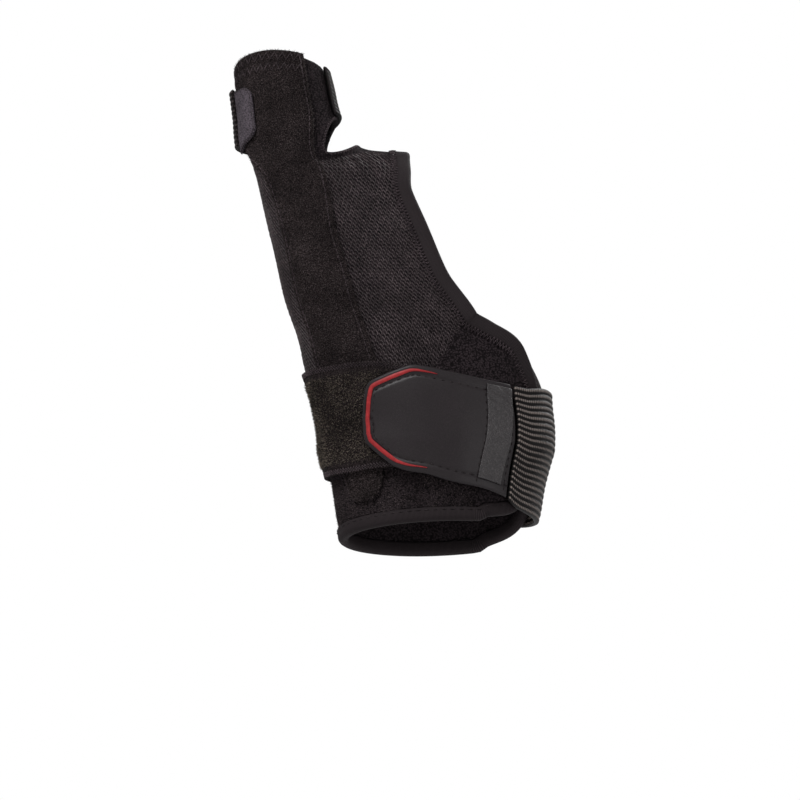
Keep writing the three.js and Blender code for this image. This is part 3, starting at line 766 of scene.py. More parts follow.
@dataclass
class Trail:
    """A path on the form with its directions at every stop."""

    form: WornForm
    angle: Grid
    level: Grid

    def __post_init__(self) -> None:
        """Works out the directions."""
        self.points = self.form.skin(self.angle, self.level)
        along = np.gradient(self.points, axis=0)
        along /= np.linalg.norm(along, axis=-1, keepdims=True)
        self.up = self.form.outward(self.angle, self.level)
        self.aside = np.cross(along, self.up)
        self.aside /= np.linalg.norm(self.aside, axis=-1, keepdims=True)
        self.run = lengths(self.points, 0)

    def at(self, side: Grid, height: Grid) -> Grid:
        """Returns points beside the path, at sideways distances and heights over the form."""
        side, height = np.asarray(side, float), np.asarray(height, float)
        return self.points + self.aside * side[..., None] + self.up * height[..., None]

    def toward(self, point: Grid) -> float:
        """Returns 1 or -1, the sign that makes sideways distances lead toward a point."""
        middle = len(self.points) // 2
        return 1.0 if self.aside[middle] @ (point - self.points[middle]) > 0 else -1.0

    def spaced(self, step: float) -> "Trail":
        """Returns the same path with its stops a given distance apart."""
        stops = np.arange(0, self.run[-1], step)
        angle = np.interp(stops, self.run, self.angle)
        level = np.interp(stops, self.run, self.level)
        return Trail(self.form, angle, level)

    def tube(self, maker: Maker, name: str, profile: Callable[[int], Grid]) -> bpy.types.Object:
        """Makes a closed solid with a profile of [aside, height] points at every stop.

        Args:
            maker: makes the object.
            name: its name.
            profile: the profile of a stop, by the stop's number.

        Returns:
            The new object.
        """
        shapes = np.stack([profile(k) for k in range(len(self.points))])
        count = shapes.shape[1]
        points = (
            self.points[:, None]
            + self.aside[:, None] * shapes[..., :1]
            + self.up[:, None] * shapes[..., 1:]
        )
        around = lengths(points, 1)
        run = np.broadcast_to(self.run[:, None], around.shape)
        uv = np.stack([run, around], -1).reshape(-1, 2)
        faces = []
        for i in range(len(points) - 1):
            for j in range(count):
                k = (j + 1) % count
                faces.append([i * count + j, i * count + k, (i + 1) * count + k, (i + 1) * count + j])
        last = (len(points) - 1) * count
        faces.append(list(range(count))[::-1])
        faces.append(list(range(last, last + count)))
        verts = points.reshape(-1, 3)
        volume = sum(
            float(np.dot(verts[f[0]], np.cross(verts[f[1]], verts[f[2]])))
            + float(np.dot(verts[f[0]], np.cross(verts[f[2]], verts[f[3]])))
            for f in faces[:-2]
        )
        if volume < 0:
            faces = [f[::-1] for f in faces]
        made = maker.mesh(name, verts, faces, uv)
        maker.weld(made)
        return made


@dataclass
class Layer:
    """A cloth laid over the form: a grid of angles and levels with a height and a thickness.

    Where span is given, the cloth coordinates across the cloth run from 0 to it all along.
    """

    form: WornForm
    angle: Grid
    level: Grid
    base: Grid
    thickness: float
    edge: float = 0.8
    span: float | None = None

    def fullness(self) -> Grid:
        """Returns how thick the cloth is, from its thin rounded edges to 1 inside."""
        middle = self.form.over(self.angle, self.level, self.base)
        u, v = lengths(middle, 0), lengths(middle, 1)
        inside = np.minimum(np.minimum(u, u[-1:] - u), np.minimum(v, v[:, -1:] - v))
        share = np.clip(inside / self.edge, 0, 1)
        return 0.15 + 0.85 * np.sqrt(1 - (1 - share) ** 2)

    def coordinates(self) -> Grid:
        """Returns the cloth coordinates in millimetres."""
        outer = self.form.over(self.angle, self.level, self.base + self.thickness)
        u, v = lengths(outer, 0), lengths(outer, 1)
        if self.span:
            v = v / v[:, -1:] * self.span
        return np.stack([u, v], -1)

    def outer(self, relief: Grid | float = 0.0) -> Grid:
        """Returns the outer surface, with a relief added in millimetres."""
        full = self.fullness()
        height = self.base + self.thickness * (0.5 + 0.5 * full) + relief * full
        return self.form.over(self.angle, self.level, height)

    def build(self, maker: Maker, name: str, relief: Grid | float = 0.0) -> bpy.types.Object:
        """Makes the cloth's object.

        Args:
            maker: makes the object.
            name: its name.
            relief: what is added to the outer surface, in millimetres.

        Returns:
            The new object.
        """
        full = self.fullness()
        inner = self.form.over(self.angle, self.level, self.base + self.thickness * (0.5 - 0.5 * full))
        return maker.slab(name, self.outer(relief), inner, self.coordinates())

    def cut(self) -> tuple[float, float, float]:
        """Returns the width, the length and the area of the flat cut, in metres."""
        middle = self.form.over(self.angle, self.level, self.base + self.thickness / 2)
        long, wide = np.diff(middle, axis=0)[:, :-1], np.diff(middle, axis=1)[:-1]
        area = np.linalg.norm(np.cross(long, wide), axis=-1).sum() * MM * MM
        width, length = lengths(middle, 1)[:, -1].max() * MM, lengths(middle, 0)[-1].max() * MM
        return width, length, min(area, width * length)

    def surface(self, maker: Maker, name: str, relief: Grid | float = 0.0) -> bpy.types.Object:
        """Makes the outer surface alone, for a pile to stand on."""
        outer = self.outer(relief)
        rows, cols = outer.shape[:2]
        i, j = np.meshgrid(np.arange(rows - 1), np.arange(cols - 1), indexing="ij")
        a = (i * cols + j).ravel()
        faces = np.stack([a, a + 1, a + cols + 1, a + cols], 1)
        points = outer.reshape(-1, 3)
        normal = np.cross(points[faces[0, 1]] - points[faces[0, 0]], points[faces[0, 2]] - points[faces[0, 0]])
        if normal @ self.form.outward(self.angle[0, 0], self.level[0, 0]) < 0:
            faces = faces[:, ::-1]
        return maker.mesh(name, points, faces.tolist(), None)


@dataclass
class Layers:
    """The heights of the layers over the form, in millimetres."""

    clearance: float = 0.3
    body: float = 2.5
    pocket: float = 1.7
    loop_band: float = 1.6
    elastic: float = 2.0
    patch: float = 1.5
    thumb_strap: float = 1.6
    tab: float = 1.3
    trim: float = 0.7

    @property
    def over_body(self) -> float:
        """Returns the height at which the first layer over the wrap starts."""
        return self.body + self.clearance

    @property
    def over_pocket(self) -> float:
        """Returns the height at which a layer over the pocket starts."""
        return self.over_body + self.pocket + self.clearance


@dataclass
class Stitcher:
    """Sews lines of thread on the form."""

    maker: Maker
    form: WornForm

    def sew(
        self, name: str, threads: list[Grid], finish: Finish, slot: str, radius: float = 0.17, sides: int = 5
    ) -> bpy.types.Object:
        """Makes one piece of thread from lines of points.

        Args:
            name: the piece's name.
            threads: the lines.
            finish: the thread's finish.
            slot: the record's material slot.
            radius: the thread's radius in millimetres.
            sides: the thread's number of sides.

        Returns:
            The piece.
        """
        made = self.maker.lines(name, threads)
        values = {"Radius": radius * MM, "Sides": sides, "Material": finish.material()}
        NodeTrees.run(made, NodeTrees.thread(), values)
        made.data.shade_smooth()
        return self.maker.finish(made, finish, slot)

    def running(self, trail: Trail, side: float, height: float, stitch: float, gap: float) -> list[Grid]:
        """Returns the stitches of a straight seam beside a trail."""
        fine = trail.spaced(stitch / 3)
        points = fine.at(np.full(len(fine.run), side), np.full(len(fine.run), height))
        dips = fine.at(np.full(len(fine.run), side), np.full(len(fine.run), height - 0.35))
        every = 3 + max(1, round(3 * gap / stitch))
        return [
            np.array([dips[k], points[k + 1], points[k + 2], dips[k + 3]])
            for k in range(0, len(points) - 4, every)
        ]

    def zigzag(self, trail: Trail, near: float, far: float, low: float, high: float, step: float) -> Grid:
        """Returns a zigzag line beside a trail, from a near to a far side distance."""
        fine = trail.spaced(step / 2)
        turn = np.arange(len(fine.run)) % 4
        side = np.choose(turn, [near, (near + far) / 2, far, (near + far) / 2])
        height = np.choose(turn, [low, (low + high) / 2 + 0.12, high, (low + high) / 2 + 0.12])
        return fine.at(side, height)


@dataclass
class MeshWrap:
    """The wrap of spacer mesh with its edge tape and hem."""

    form: WornForm
    maker: Maker
    layers: Layers
    rows: int = 190
    columns: int = 120
    stitch_dip: float = 0.34
    wale_pitch: float = 0.82
    cell_length: float = 2.7
    yarn_radius: float = 0.22
    binding_width: float = 6.0
    binding_swell: float = 0.3
    hem_height: float = 5.0
    hem_swell: float = 0.7
    start_angle: float = 115.0

    def build(self) -> None:
        """Builds and dresses the wrap, its knit, its tape and its hem."""
        self._wrap()
        self._knit()
        self._cuff_pile()
        self._binding()
        self._hole_seam()
        self._hem()

    def _levels(self, count: int) -> Grid:
        """Returns the wrap's levels, which crowd at the web's hole."""
        f = self.form
        low = np.linspace(CUFF_ROW, WEB_ROW - 1, int(count * 0.6), endpoint=False)
        web = WEB_ROW - 1 + (f.saddle - WEB_ROW + 1) * np.sin(np.linspace(0, np.pi / 2, int(count * 0.1), False))
        bridge = np.linspace(f.saddle, f.bridge, 8, endpoint=False)
        turn = (1 - np.cos(np.linspace(0, np.pi, 26, endpoint=False))) / 2
        hole = f.bridge + (f.hole_top - f.bridge) * turn
        top = np.linspace(f.hole_top, f.top, 24)
        return np.concatenate([low, web, bridge, hole, top])

    def _wrap(self) -> None:
        """Makes the cloth itself."""
        f = self.form
        levels = self._levels(self.rows)
        start, end = f.edges(levels)
        share = np.linspace(0, 1, self.columns + 1)
        level = np.broadcast_to(levels[:, None], (len(levels), len(share)))
        lower, middle = int(self.columns * 0.22), self.columns - 2 * int(self.columns * 0.22)
        k = np.arange(self.columns + 1)[None, :]
        first = start[:, None] + (90 - start[:, None]) * k / lower
        mid = 90 + 180 * (k - lower) / middle
        last = 270 + (end[:, None] - 270) * (k - lower - middle) / lower
        angle = np.where(k < lower, first, np.where(k <= lower + middle, mid, last))
        outer_flat = f.over(angle, level, self.layers.body)
        v = lengths(outer_flat, 0)
        u = lengths(outer_flat, 1)
        relief = 0.16 * smooth_noise(u, v, 14, 5) + 0.08 * smooth_noise(u, v, 6, 8)
        rim = np.clip((f.top - level) / 0.12, 0, 1)
        round_off = 1 - np.sqrt(1 - (1 - rim) ** 2)
        outer = f.over(angle, level, self.layers.body + relief - 1.1 * round_off - 0.12)
        inner = f.over(angle, level, 0.15 + 1.0 * round_off)
        shut = (start <= 0.0) & (end >= 360.0)
        outer[shut, -1], inner[shut, -1] = outer[shut, 0], inner[shut, 0]
        made = self.maker.slab("wrap_cloth", outer, inner, np.stack([u, v], -1), shut)
        self.maker.finish(made, MESH_GROUND, "mesh_cloth", ("body_wrap",), fill=0.6)

    def _hidden(self, angle: Grid, z: Grid) -> Grid:
        """Tells where the wrap lies under the pocket or a band, so that no knit is needed."""
        pocket = curves_of(rows_of(*POCKET_TABLE), "rise")
        rise = z / self.form.thumb_rise
        under_pocket = (angle < pocket["thumb_side"](rise) - 3) & (angle > pocket["hand_side"](rise) + 3)
        under_pocket &= z > -12
        under_strap = (z > -12) & (z < 16)
        brushed = (z < 0) & (angle > 20) & (angle < 185)
        brushed |= (z > 106) & (angle > -5) & (angle < 100)
        soft_edge = 86 + 3 * smooth_noise(angle, z, 6, 3)
        brushed |= (z > 0) & (z < 42) & (angle > 20) & (angle + 1.2 * (z - 25.5) < soft_edge)
        return under_pocket | under_strap | brushed

    def _knit(self) -> None:
        """Makes the knit: wavy yarns that meet their neighbours, so that long cells stay open."""
        f = self.form
        dense = np.linspace(CUFF_ROW, f.top, 900)
        line = f.over(self.start_angle, dense, self.layers.body)
        run = lengths(line, 0)
        step = self.cell_length / 4
        v = np.arange(1.2, run[-1] - 1.0, step)
        levels = np.interp(v, run, dense)
        degrees = np.arange(-20, 381, 1.0)
        ring = f.over(degrees[None, :], levels[:, None], self.layers.body)
        arc = lengths(ring, 1)
        arc -= arc[:, [int(self.start_angle + 20)]]
        wales = np.arange(-100, 101)
        wave = np.array([1.0, 1.0, -1.0, -1.0])
        angle = np.empty((len(v), len(wales)))
        for r in range(len(v)):
            sway = wave[(r + 2 * (wales % 2)) % 4] * self.wale_pitch * 0.2
            angle[r] = np.interp(wales * self.wale_pitch + sway, arc[r], degrees, left=-999, right=999)
        level = np.broadcast_to(levels[:, None], angle.shape)
        start, end = f.edges(level)
        z = f.section(level)["height"]
        kept = (angle > start + 0.6) & (angle < end - 0.6) & ~self._hidden(angle, z)
        stop = (np.arange(len(v))[:, None] + 2 * (wales[None, :] % 2)) % 4
        uneven = smooth_noise(np.broadcast_to(wales * self.wale_pitch, angle.shape), v[:, None], 2.6, 11)
        height = self.layers.body - 0.04 - self.stitch_dip * (stop == 1) - 0.1 * uneven
        points = f.over(np.clip(angle, -20, 380), level, height)
        threads = []
        for w in range(len(wales)):
            run_start = None
            for r in range(len(v) + 1):
                inside = r < len(v) and kept[r, w]
                if inside and run_start is None:
                    run_start = r
                if not inside and run_start is not None:
                    if r - run_start > 2:
                        threads.append(points[run_start:r, w])
                    run_start = None
        made = self.maker.lines("wrap_knit", threads)
        values = {"Radius": self.yarn_radius * MM, "Sides": 3, "Material": MESH_YARN.material()}
        NodeTrees.run(made, NodeTrees.thread(), values)
        made.data.shade_smooth()
        self.maker.finish(made, MESH_YARN, "mesh_cloth")

    def _cuff_pile(self) -> None:
        """Makes the brushed front of the cuff below the strap."""
        f = self.form
        height = np.linspace(-31, -10, 24)
        low = f.solve(height, lambda at: f.section(at)["height"], 0.0, f.top)
        angle, level = np.meshgrid(np.linspace(66, 182, 60), low, indexing="ij")
        flat = Layer(f, angle, level, np.zeros(angle.shape), self.layers.body, 0.1)
        pile = flat.surface(self.maker, "cuff_pile", -0.15)
        values = {"Density": 3.0e6, "Length": 0.0007, "Width": 0.00008, "Seed": 23}
        NodeTrees.run(pile, NodeTrees.pile(), {**values, "Material": LOOP_FIBRE.material()})
        self.maker.finish(pile, LOOP_FIBRE, "mesh_cloth")

    def _opening(self) -> Trail:
        """Returns the path round the finger opening."""
        f = self.form
        first = float(f.level_at(30.0, 0.35 * 39))
        levels = np.concatenate(
            [np.linspace(first, WEB_ROW - 1, 110, False), WEB_ROW - 1 + (f.saddle - WEB_ROW + 1) * np.sin(np.linspace(0, np.pi / 2, 40))]
        )
        start, end = f.edges(levels - 1e-6)
        start[-1], end[-1] = 0.0, 360.0
        angle = np.concatenate([start, end[::-1][1:] - 360])
        level = np.concatenate([levels, levels[::-1][1:]])
        return Trail(f, angle, level).spaced(1.2)

    @staticmethod
    def _tape(width: float, low: float, high: float, gap: float) -> Grid:
        """Returns a folded tape's profile: flat faces, a round free edge and a soft inner edge."""
        middle, bend = (low + high) / 2, (high - low) / 2
        turn = np.radians(np.linspace(-75, 75, 7))
        nose = np.stack([gap + width - bend + bend * np.cos(turn), middle + bend * np.sin(turn)], 1)
        flat = [[gap, low + 0.5], [gap + 0.5, low], [gap + width - bend, low]]
        back = [[gap + width - bend, high], [gap + 0.5, high], [gap, high - 0.5]]
        return np.concatenate([flat, nose, back])

    def _binding(self) -> None:
        """Makes the tape round the finger opening and its overlock seam."""
        trail = self._opening()
        swell = self.binding_swell
        shape = self._tape(self.binding_width, -swell, self.layers.body + swell, self.layers.clearance)
        made = trail.tube(self.maker, "opening_tape", lambda k: shape)
        self.maker.finish(made, EDGE_TAPE, "binding_tape", ("opening_binding",))
        top = self.layers.body
        sewer = Stitcher(self.maker, self.form)
        seam = sewer.zigzag(trail, -1.7, 0.9, top + 0.3, top + swell + 0.15, 0.62)
        sewer.sew("opening_overlock", [seam], SEAM_THREAD, "binding_tape", 0.15, 4)

    def _hole_seam(self) -> None:
        """Makes the overlocked edge of the hole over the web."""
        f = self.form
        turn = (1 - np.cos(np.linspace(0.06, np.pi - 0.06, 60))) / 2
        levels = f.bridge + (f.hole_top - f.bridge) * turn
        start, _ = f.edges(levels)
        angle = np.concatenate([start, -start[::-1], start[:1]])
        level = np.concatenate([levels, levels[::-1], levels[:1]])
        trail = Trail(f, angle, level)
        side = trail.toward(f.over(90.0, f.hole_top, 0.0))
        sewer, top = Stitcher(self.maker, f), self.layers.body
        seam = sewer.zigzag(trail, 0.1 * side, 1.2 * side, top - 0.3, top + 0.12, 0.6)
        sewer.sew("web_overlock", [seam], SEAM_THREAD, "mesh_cloth", 0.16, 4)

    def _hem(self) -> None:
        """Makes the cuff's hem, which follows its lower corners and lower edge."""
        f = self.form
        corner = np.linspace(STRAP_ROW - 1.3, CUFF_ROW, 40)
        start, end = f.edges(corner)
        sweep = np.linspace(end[-1], start[-1], 150)[1:-1]
        angle = np.concatenate([end, sweep, start[::-1]])
        level = np.concatenate([corner, np.full(len(sweep), float(CUFF_ROW)), corner[::-1]])
        trail = Trail(f, angle, level).spaced(1.3)
        shape = self._tape(self.hem_height, -self.hem_swell, self.layers.body + self.hem_swell, self.layers.clearance)
        made = trail.tube(self.maker, "cuff_roll", lambda k: shape)
        self.maker.finish(made, EDGE_TAPE, "binding_tape", ("cuff_hem",))
        sewer = Stitcher(self.maker, f)
        top = self.layers.body + self.hem_swell
        seams = sewer.running(trail, 1.3, top + 0.12, 2.2, 0.7)
        sewer.sew("cuff_seam", seams, DARK_THREAD, "binding_tape", 0.16, 4)


@dataclass
class StayPocket:
    """The brushed pocket that holds the stiff stay down the thumb."""

    form: WornForm
    maker: Maker
    layers: Layers
    end_length: float = 9.0
    rim_margin: float = 1.0
    seam_inset: float = 1.9
    rows: int = 260
    columns: int = 54

    def _grid(self) -> tuple[Grid, Grid]:
        """Returns the pocket's angles and levels."""
        f = self.form
        table = rows_of(*POCKET_TABLE)
        edges = curves_of(table, "rise")
        lowest = table[0]["rise"] * f.thumb_rise - self.end_length / 2
        height = np.concatenate(
            [
                lowest + self.end_length * (1 - np.cos(np.linspace(0, np.pi / 2, 24, False))),
                np.linspace(lowest + self.end_length, f.thumb_rise - self.rim_margin, self.rows - 24),
            ]
        )
        level = f.solve(height, lambda at: f.section(at)["height"], 0.0, f.top)
        rise = height / f.thumb_rise
        rounding = 1 - np.minimum(1, (height - lowest) / self.end_length)
        fullness = 0.35 + 0.65 * np.sqrt(1 - rounding**2)
        thumb, hand = edges["thumb_side"](rise), edges["hand_side"](rise)
        share = np.linspace(1, -1, self.columns + 1)[None, :]
        angle = ((thumb + hand) / 2)[:, None] + ((hand - thumb) / 2 * fullness)[:, None] * share
        return angle, np.broadcast_to(level[:, None], angle.shape)

    def build(self) -> None:
        """Builds the pocket, its pile and its seams."""
        angle, level = self._grid()
        layer = Layer(self.form, angle, level, np.full(angle.shape, self.layers.over_body), self.layers.pocket, 1.3)
        u, v = np.moveaxis(layer.coordinates(), -1, 0)
        side = np.minimum(v, v[:, -1:] - v)
        groove = -0.55 * np.exp(-(((side - self.seam_inset) / 0.7) ** 2))
        relief = groove + 0.28 * smooth_noise(u, v, 16, 21) + 0.12 * smooth_noise(u, v, 7, 4) - 0.15
        made = layer.build(self.maker, "stay_sleeve", relief)
        self.maker.finish(made, LOOP_CLOTH, "loop_cloth", ("stay_pocket",), fill=0.7)
        pile = layer.surface(self.maker, "stay_pile", relief)
        values = {"Density": 3.4e6, "Length": 0.00075, "Width": 0.00008, "Seed": 11}
        NodeTrees.run(pile, NodeTrees.pile(), {**values, "Material": LOOP_FIBRE.material()})
        self.maker.finish(pile, LOOP_FIBRE, "loop_cloth")
        self._seams(angle, level)

    def _seams(self, angle: Grid, level: Grid) -> None:
        """Makes the seams along the pocket's sides and the scalloped rows under its rim."""
        sewer = Stitcher(self.maker, self.form)
        top = self.layers.over_body + self.layers.pocket
        seams = []
        middle = self.form.over(angle[150, self.columns // 2], level[150, 0], 4.0)
        for column in (0, self.columns):
            trail = Trail(self.form, angle[26:, column], level[26:, column])
            side = trail.toward(middle)
            seams += sewer.running(trail, side * self.seam_inset, top - 0.02, 1.9, 0.6)
        sewer.sew("stay_seam", seams, SEAM_THREAD, "loop_cloth", 0.16, 4)
        rows = []
        for below in (3.6, 7.2):
            lvl = self.form.solve(
                np.array(self.form.thumb_rise - below), lambda at: self.form.section(at)["height"], 0.0, self.form.top
            )
            a = np.linspace(float(angle[-1].min()) + 5, float(angle[-1].max()) - 5, 120)
            trail = Trail(self.form, a, np.full(a.shape, float(lvl)))
            rows.append(sewer.zigzag(trail, -1.5, 1.5, top + 0.2, top + 0.2, 1.1))
        sewer.sew("rim_scallops", rows, SEAM_THREAD, "loop_cloth", 0.15, 4)


@dataclass
class Bands:
    """The wrist strap, with its patch, and the strap and tab round the thumb."""

    form: WornForm
    maker: Maker
    layers: Layers
    loop_width: float = 39.0
    elastic_width: float = 42.0
    patch_width: float = 40.0
    thumb_strap_width: float = 23.5
    tab_width: float = 23.6
    sewn_end: float = 0.8
    tab_rise: float = 0.847
    elastic_lift: float = 1.2
    patch_fall: float = 3.0
    rib_height: float = 0.7
    piping_width: float = 1.5
    piping_inset: float = 1.4
    piping_top: float = 84.5
    piping_bottom: float = 95.0
    seam_inset: float = 3.9
    strip_from: float = 66.0
    strip_to: float = 51.5
    strip_lean: float = 2.8
    strip_above: float = 1.7
    strip_below: float = 3.2

    def build(self) -> None:
        """Builds every band and what lies on it."""
        self._loop_band()
        self._elastic_band()
        self._thumb_strap()
        self._tab()
        self._patch()
        self._piping()
        self._strip()

    def _band(
        self, table: tuple[str, str], width: float, rise: float, thickness: float, lift: float, rows: int, columns: int
    ) -> Layer:
        """Lays a band over the form.

        Args:
            table: the band's centre line.
            width: its width in millimetres.
            rise: what its rises are shares of.
            thickness: the cloth's thickness.
            lift: the clear height where its lift is 1.
            rows: steps along it.
            columns: steps across it.

        Returns:
            The band's layer.
        """
        stations = rows_of(*table)
        curves = curves_of(stations, "angle")
        angle = np.linspace(stations[0]["angle"], stations[-1]["angle"], rows + 1)[:, None]
        z = curves["rise"](angle) * rise + curves["width"](angle) * width * np.linspace(-0.5, 0.5, columns + 1)[None, :]
        angle = np.broadcast_to(angle, z.shape)
        base = self.layers.over_body + curves["lift"](angle) * lift
        return Layer(self.form, angle, self.form.level_at(angle, z), base, thickness, 0.7)

    @staticmethod
    def _stretch(made: bpy.types.Object, layer: Layer, *under: str) -> None:
        """Works out the width, the length and the area of a band's flat cut, which go unused."""
        width, length, area = layer.cut()

    def _ribs(self, layer: Layer) -> Grid:
        """Returns the relief of ribs that run along a band."""
        place = 2 * (layer.coordinates()[..., 1] / RIB_PITCH % 1) - 1
        return self.rib_height * (np.sqrt(np.maximum(0, 1 - place**2)) - 1)

    def _loop_band(self) -> None:
        """Makes the brushed part of the wrist strap with its woven edges."""
        lift = self.layers.pocket + self.layers.clearance
        layer = self._band(LOOP_TABLE, self.loop_width, self.loop_width, self.layers.loop_band, lift, 200, 56)
        u, v = np.moveaxis(layer.coordinates(), -1, 0)
        side = np.minimum(v, v[:, -1:] - v)
        selvage = -0.35 * (side < 2.6)
        relief = selvage + 0.14 * smooth_noise(u, v, 9, 31) - 0.1
        made = layer.build(self.maker, "wrist_loop_cloth", relief)
        self.maker.finish(made, LOOP_CLOTH, "loop_cloth", ("loop_band",))
        self._stretch(made, layer, "body_wrap", "stay_pocket")
        inner = slice(5, 52)
        part = Layer(self.form, layer.angle[:, inner], layer.level[:, inner], layer.base[:, inner], layer.thickness, 0.1)
        pile = part.surface(self.maker, "wrist_loop_pile", relief[:, inner])
        values = {"Density": 3.6e6, "Length": 0.0009, "Width": 0.00009, "Seed": 17}
        NodeTrees.run(pile, NodeTrees.pile(), {**values, "Material": BAND_FIBRE.material()})
        self.maker.finish(pile, BAND_FIBRE, "loop_cloth")
        self._selvages(layer)

    def _selvages(self, layer: Layer) -> None:
        """Makes the chevron threads along the strap's two edges."""
        sewer = Stitcher(self.maker, self.form)
        height = float(self.layers.loop_band)
        threads = []
        middle = layer.outer()[len(layer.angle) // 2, layer.angle.shape[1] // 2]
        for column in (0, layer.angle.shape[1] - 1):
            lift = np.interp(np.arange(len(layer.angle)), np.arange(len(layer.angle)), layer.base[:, column])
            trail = Trail(self.form, layer.angle[:, column], layer.level[:, column])
            fine = trail.spaced(0.5)
            side = trail.toward(middle)
            base = np.interp(fine.run, trail.run, lift)
            for near, far in ((0.3, 1.2), (1.2, 2.1)):
                turn = np.arange(len(fine.run)) % 2
                aside = side * np.where(turn == 0, near, far)
                threads.append(fine.at(aside, base + height - 0.2))
        sewer.sew("wrist_loop_selvage", threads, SEAM_THREAD, "loop_cloth", 0.17, 4)

    def _elastic_band(self) -> None:
        """Makes the ribbed elastic part of the wrist strap."""
        layer = self._band(
            ELASTIC_TABLE, self.elastic_width, self.elastic_width, self.layers.elastic, self.elastic_lift, 170, 176
        )
        layer.span = 22 * RIB_PITCH
        made = layer.build(self.maker, "wrist_elastic", self._ribs(layer))
        self.maker.finish(made, ELASTIC_WEB, "elastic_web", ("elastic_band",))
        self._stretch(made, layer, "body_wrap")

    def _thumb_strap(self) -> None:
        """Makes the ribbed strap round the thumb."""
        lift = self.layers.pocket + self.layers.clearance
        layer = self._band(
            THUMB_STRAP_TABLE, self.thumb_strap_width, self.form.thumb_rise, self.layers.thumb_strap, lift, 150, 96
        )
        layer.span = 12 * RIB_PITCH
        u = layer.coordinates()[..., 0]
        fade = 0.75 * np.clip((u - 0.4) / 1.2, 0.15, 1)
        made = layer.build(self.maker, "thumb_elastic", self._ribs(layer) * fade)
        self.maker.finish(made, THUMB_ELASTIC, "elastic_web", ("thumb_strap",))
        self._stretch(made, layer, "body_wrap", "stay_pocket")
        made.data.materials.append(EDGE_TAPE.material())
        cloth = made.data.uv_layers["cloth"].data
        for face in made.data.polygons:
            face.material_index = int(cloth[face.loop_start].uv.x < self.sewn_end)

    def _tab(self) -> None:
        """Makes the grey hook tab with its overlocked edge."""
        stations = rows_of(*TAB_TABLE)
        curves = curves_of(stations, "angle")
        angle = np.linspace(stations[0]["angle"], stations[-1]["angle"], 61)[:, None]
        share = np.linspace(0, 1, 49)[None, :]
        low, high = curves["bottom"](angle), curves["top"](angle)
        z = self.tab_rise * self.form.thumb_rise + (low + (high - low) * share) * self.tab_width / 2
        angle = np.broadcast_to(angle, z.shape)
        base = np.full(z.shape, self.layers.over_pocket)
        layer = Layer(self.form, angle, self.form.level_at(angle, z), base, self.layers.tab, 0.6)
        u, v = np.moveaxis(layer.coordinates(), -1, 0)
        made = layer.build(self.maker, "thumb_hook_tab", 0.06 * smooth_noise(u, v, 3, 2))
        self.maker.finish(made, HOOK_TAB, "hook_tab", ("thumb_tab",))
        rim_angle = np.concatenate([layer.angle[:, -1], layer.angle[-1, ::-1], layer.angle[::-1, 0]])
        rim_level = np.concatenate([layer.level[:, -1], layer.level[-1, ::-1], layer.level[::-1, 0]])
        trail = Trail(self.form, rim_angle, rim_level)
        keep = np.concatenate([[True], np.diff(trail.run) > 1e-6])
        trail = Trail(self.form, rim_angle[keep], rim_level[keep])
        sewer = Stitcher(self.maker, self.form)
        top = self.layers.over_pocket + self.layers.tab
        seam = sewer.zigzag(trail, -0.1, 0.9, top - 0.5, top + 0.05, 0.5)
        sewer.sew("tab_overlock", [seam], DARK_THREAD, "hook_tab", 0.16, 4)

    def _patch_height(self, angle: Grid) -> Grid:
        """Returns the height at which the patch starts."""
        base = self.layers.over_pocket + self.layers.loop_band + self.layers.clearance
        return base - self.patch_fall * (1 - curves_of(rows_of(*PATCH_TABLE), "angle")["lift"](angle))

    def _patch_edges(self, angle: Grid) -> tuple[Grid, Grid]:
        """Returns the patch's lower and upper edge in millimetres."""
        curves = curves_of(rows_of(*PATCH_TABLE), "angle")
        half = self.patch_width / 2
        return curves["bottom"](angle) * half, curves["top"](angle) * half

    def _patch(self) -> None:
        """Makes the leather patch and its seams."""
        table = rows_of(*PATCH_TABLE)
        share = np.linspace(0, 1, 141) ** 1.5
        angle = (table[0]["angle"] + (table[-1]["angle"] - table[0]["angle"]) * share)[:, None]
        low, high = self._patch_edges(angle)
        z = low + (high - low) * np.linspace(0, 1, 91)[None, :]
        angle = np.broadcast_to(angle, z.shape)
        layer = Layer(self.form, angle, self.form.level_at(angle, z), self._patch_height(angle), self.layers.patch, 0.7)
        u, v = np.moveaxis(layer.coordinates(), -1, 0)
        side = np.minimum(np.minimum(v, v[:, -1:] - v), u)
        groove = -0.3 * np.exp(-(((side - self.seam_inset) / 0.55) ** 2))
        relief = groove + 0.1 * smooth_noise(u, v, 22, 9)
        made = layer.build(self.maker, "patch_face", relief)
        self.maker.finish(made, PATCH_LEATHER, "synthetic_leather", ("strap_patch",))
        self._patch_seams()

    def _outline(self, bottom: float, top: float, count: int = 90) -> Trail:
        """Returns the patch's outline from its lower edge round the tip to its upper edge."""
        tip = rows_of(*PATCH_TABLE)[0]["angle"]
        share = np.sin(np.linspace(0, np.pi / 2, count))
        below, above = bottom + (tip - bottom) * share, top + (tip - top) * share
        low, high = self._patch_edges(below)[0], self._patch_edges(above)[1]
        side = np.linspace(0, 1, 24)[1:-1]
        z = np.concatenate([low, low[-1] + (high[-1] - low[-1]) * side, high[::-1]])
        angle = np.concatenate([below, np.full(len(side), tip), above[::-1]])
        return Trail(self.form, angle, self.form.level_at(angle, z))

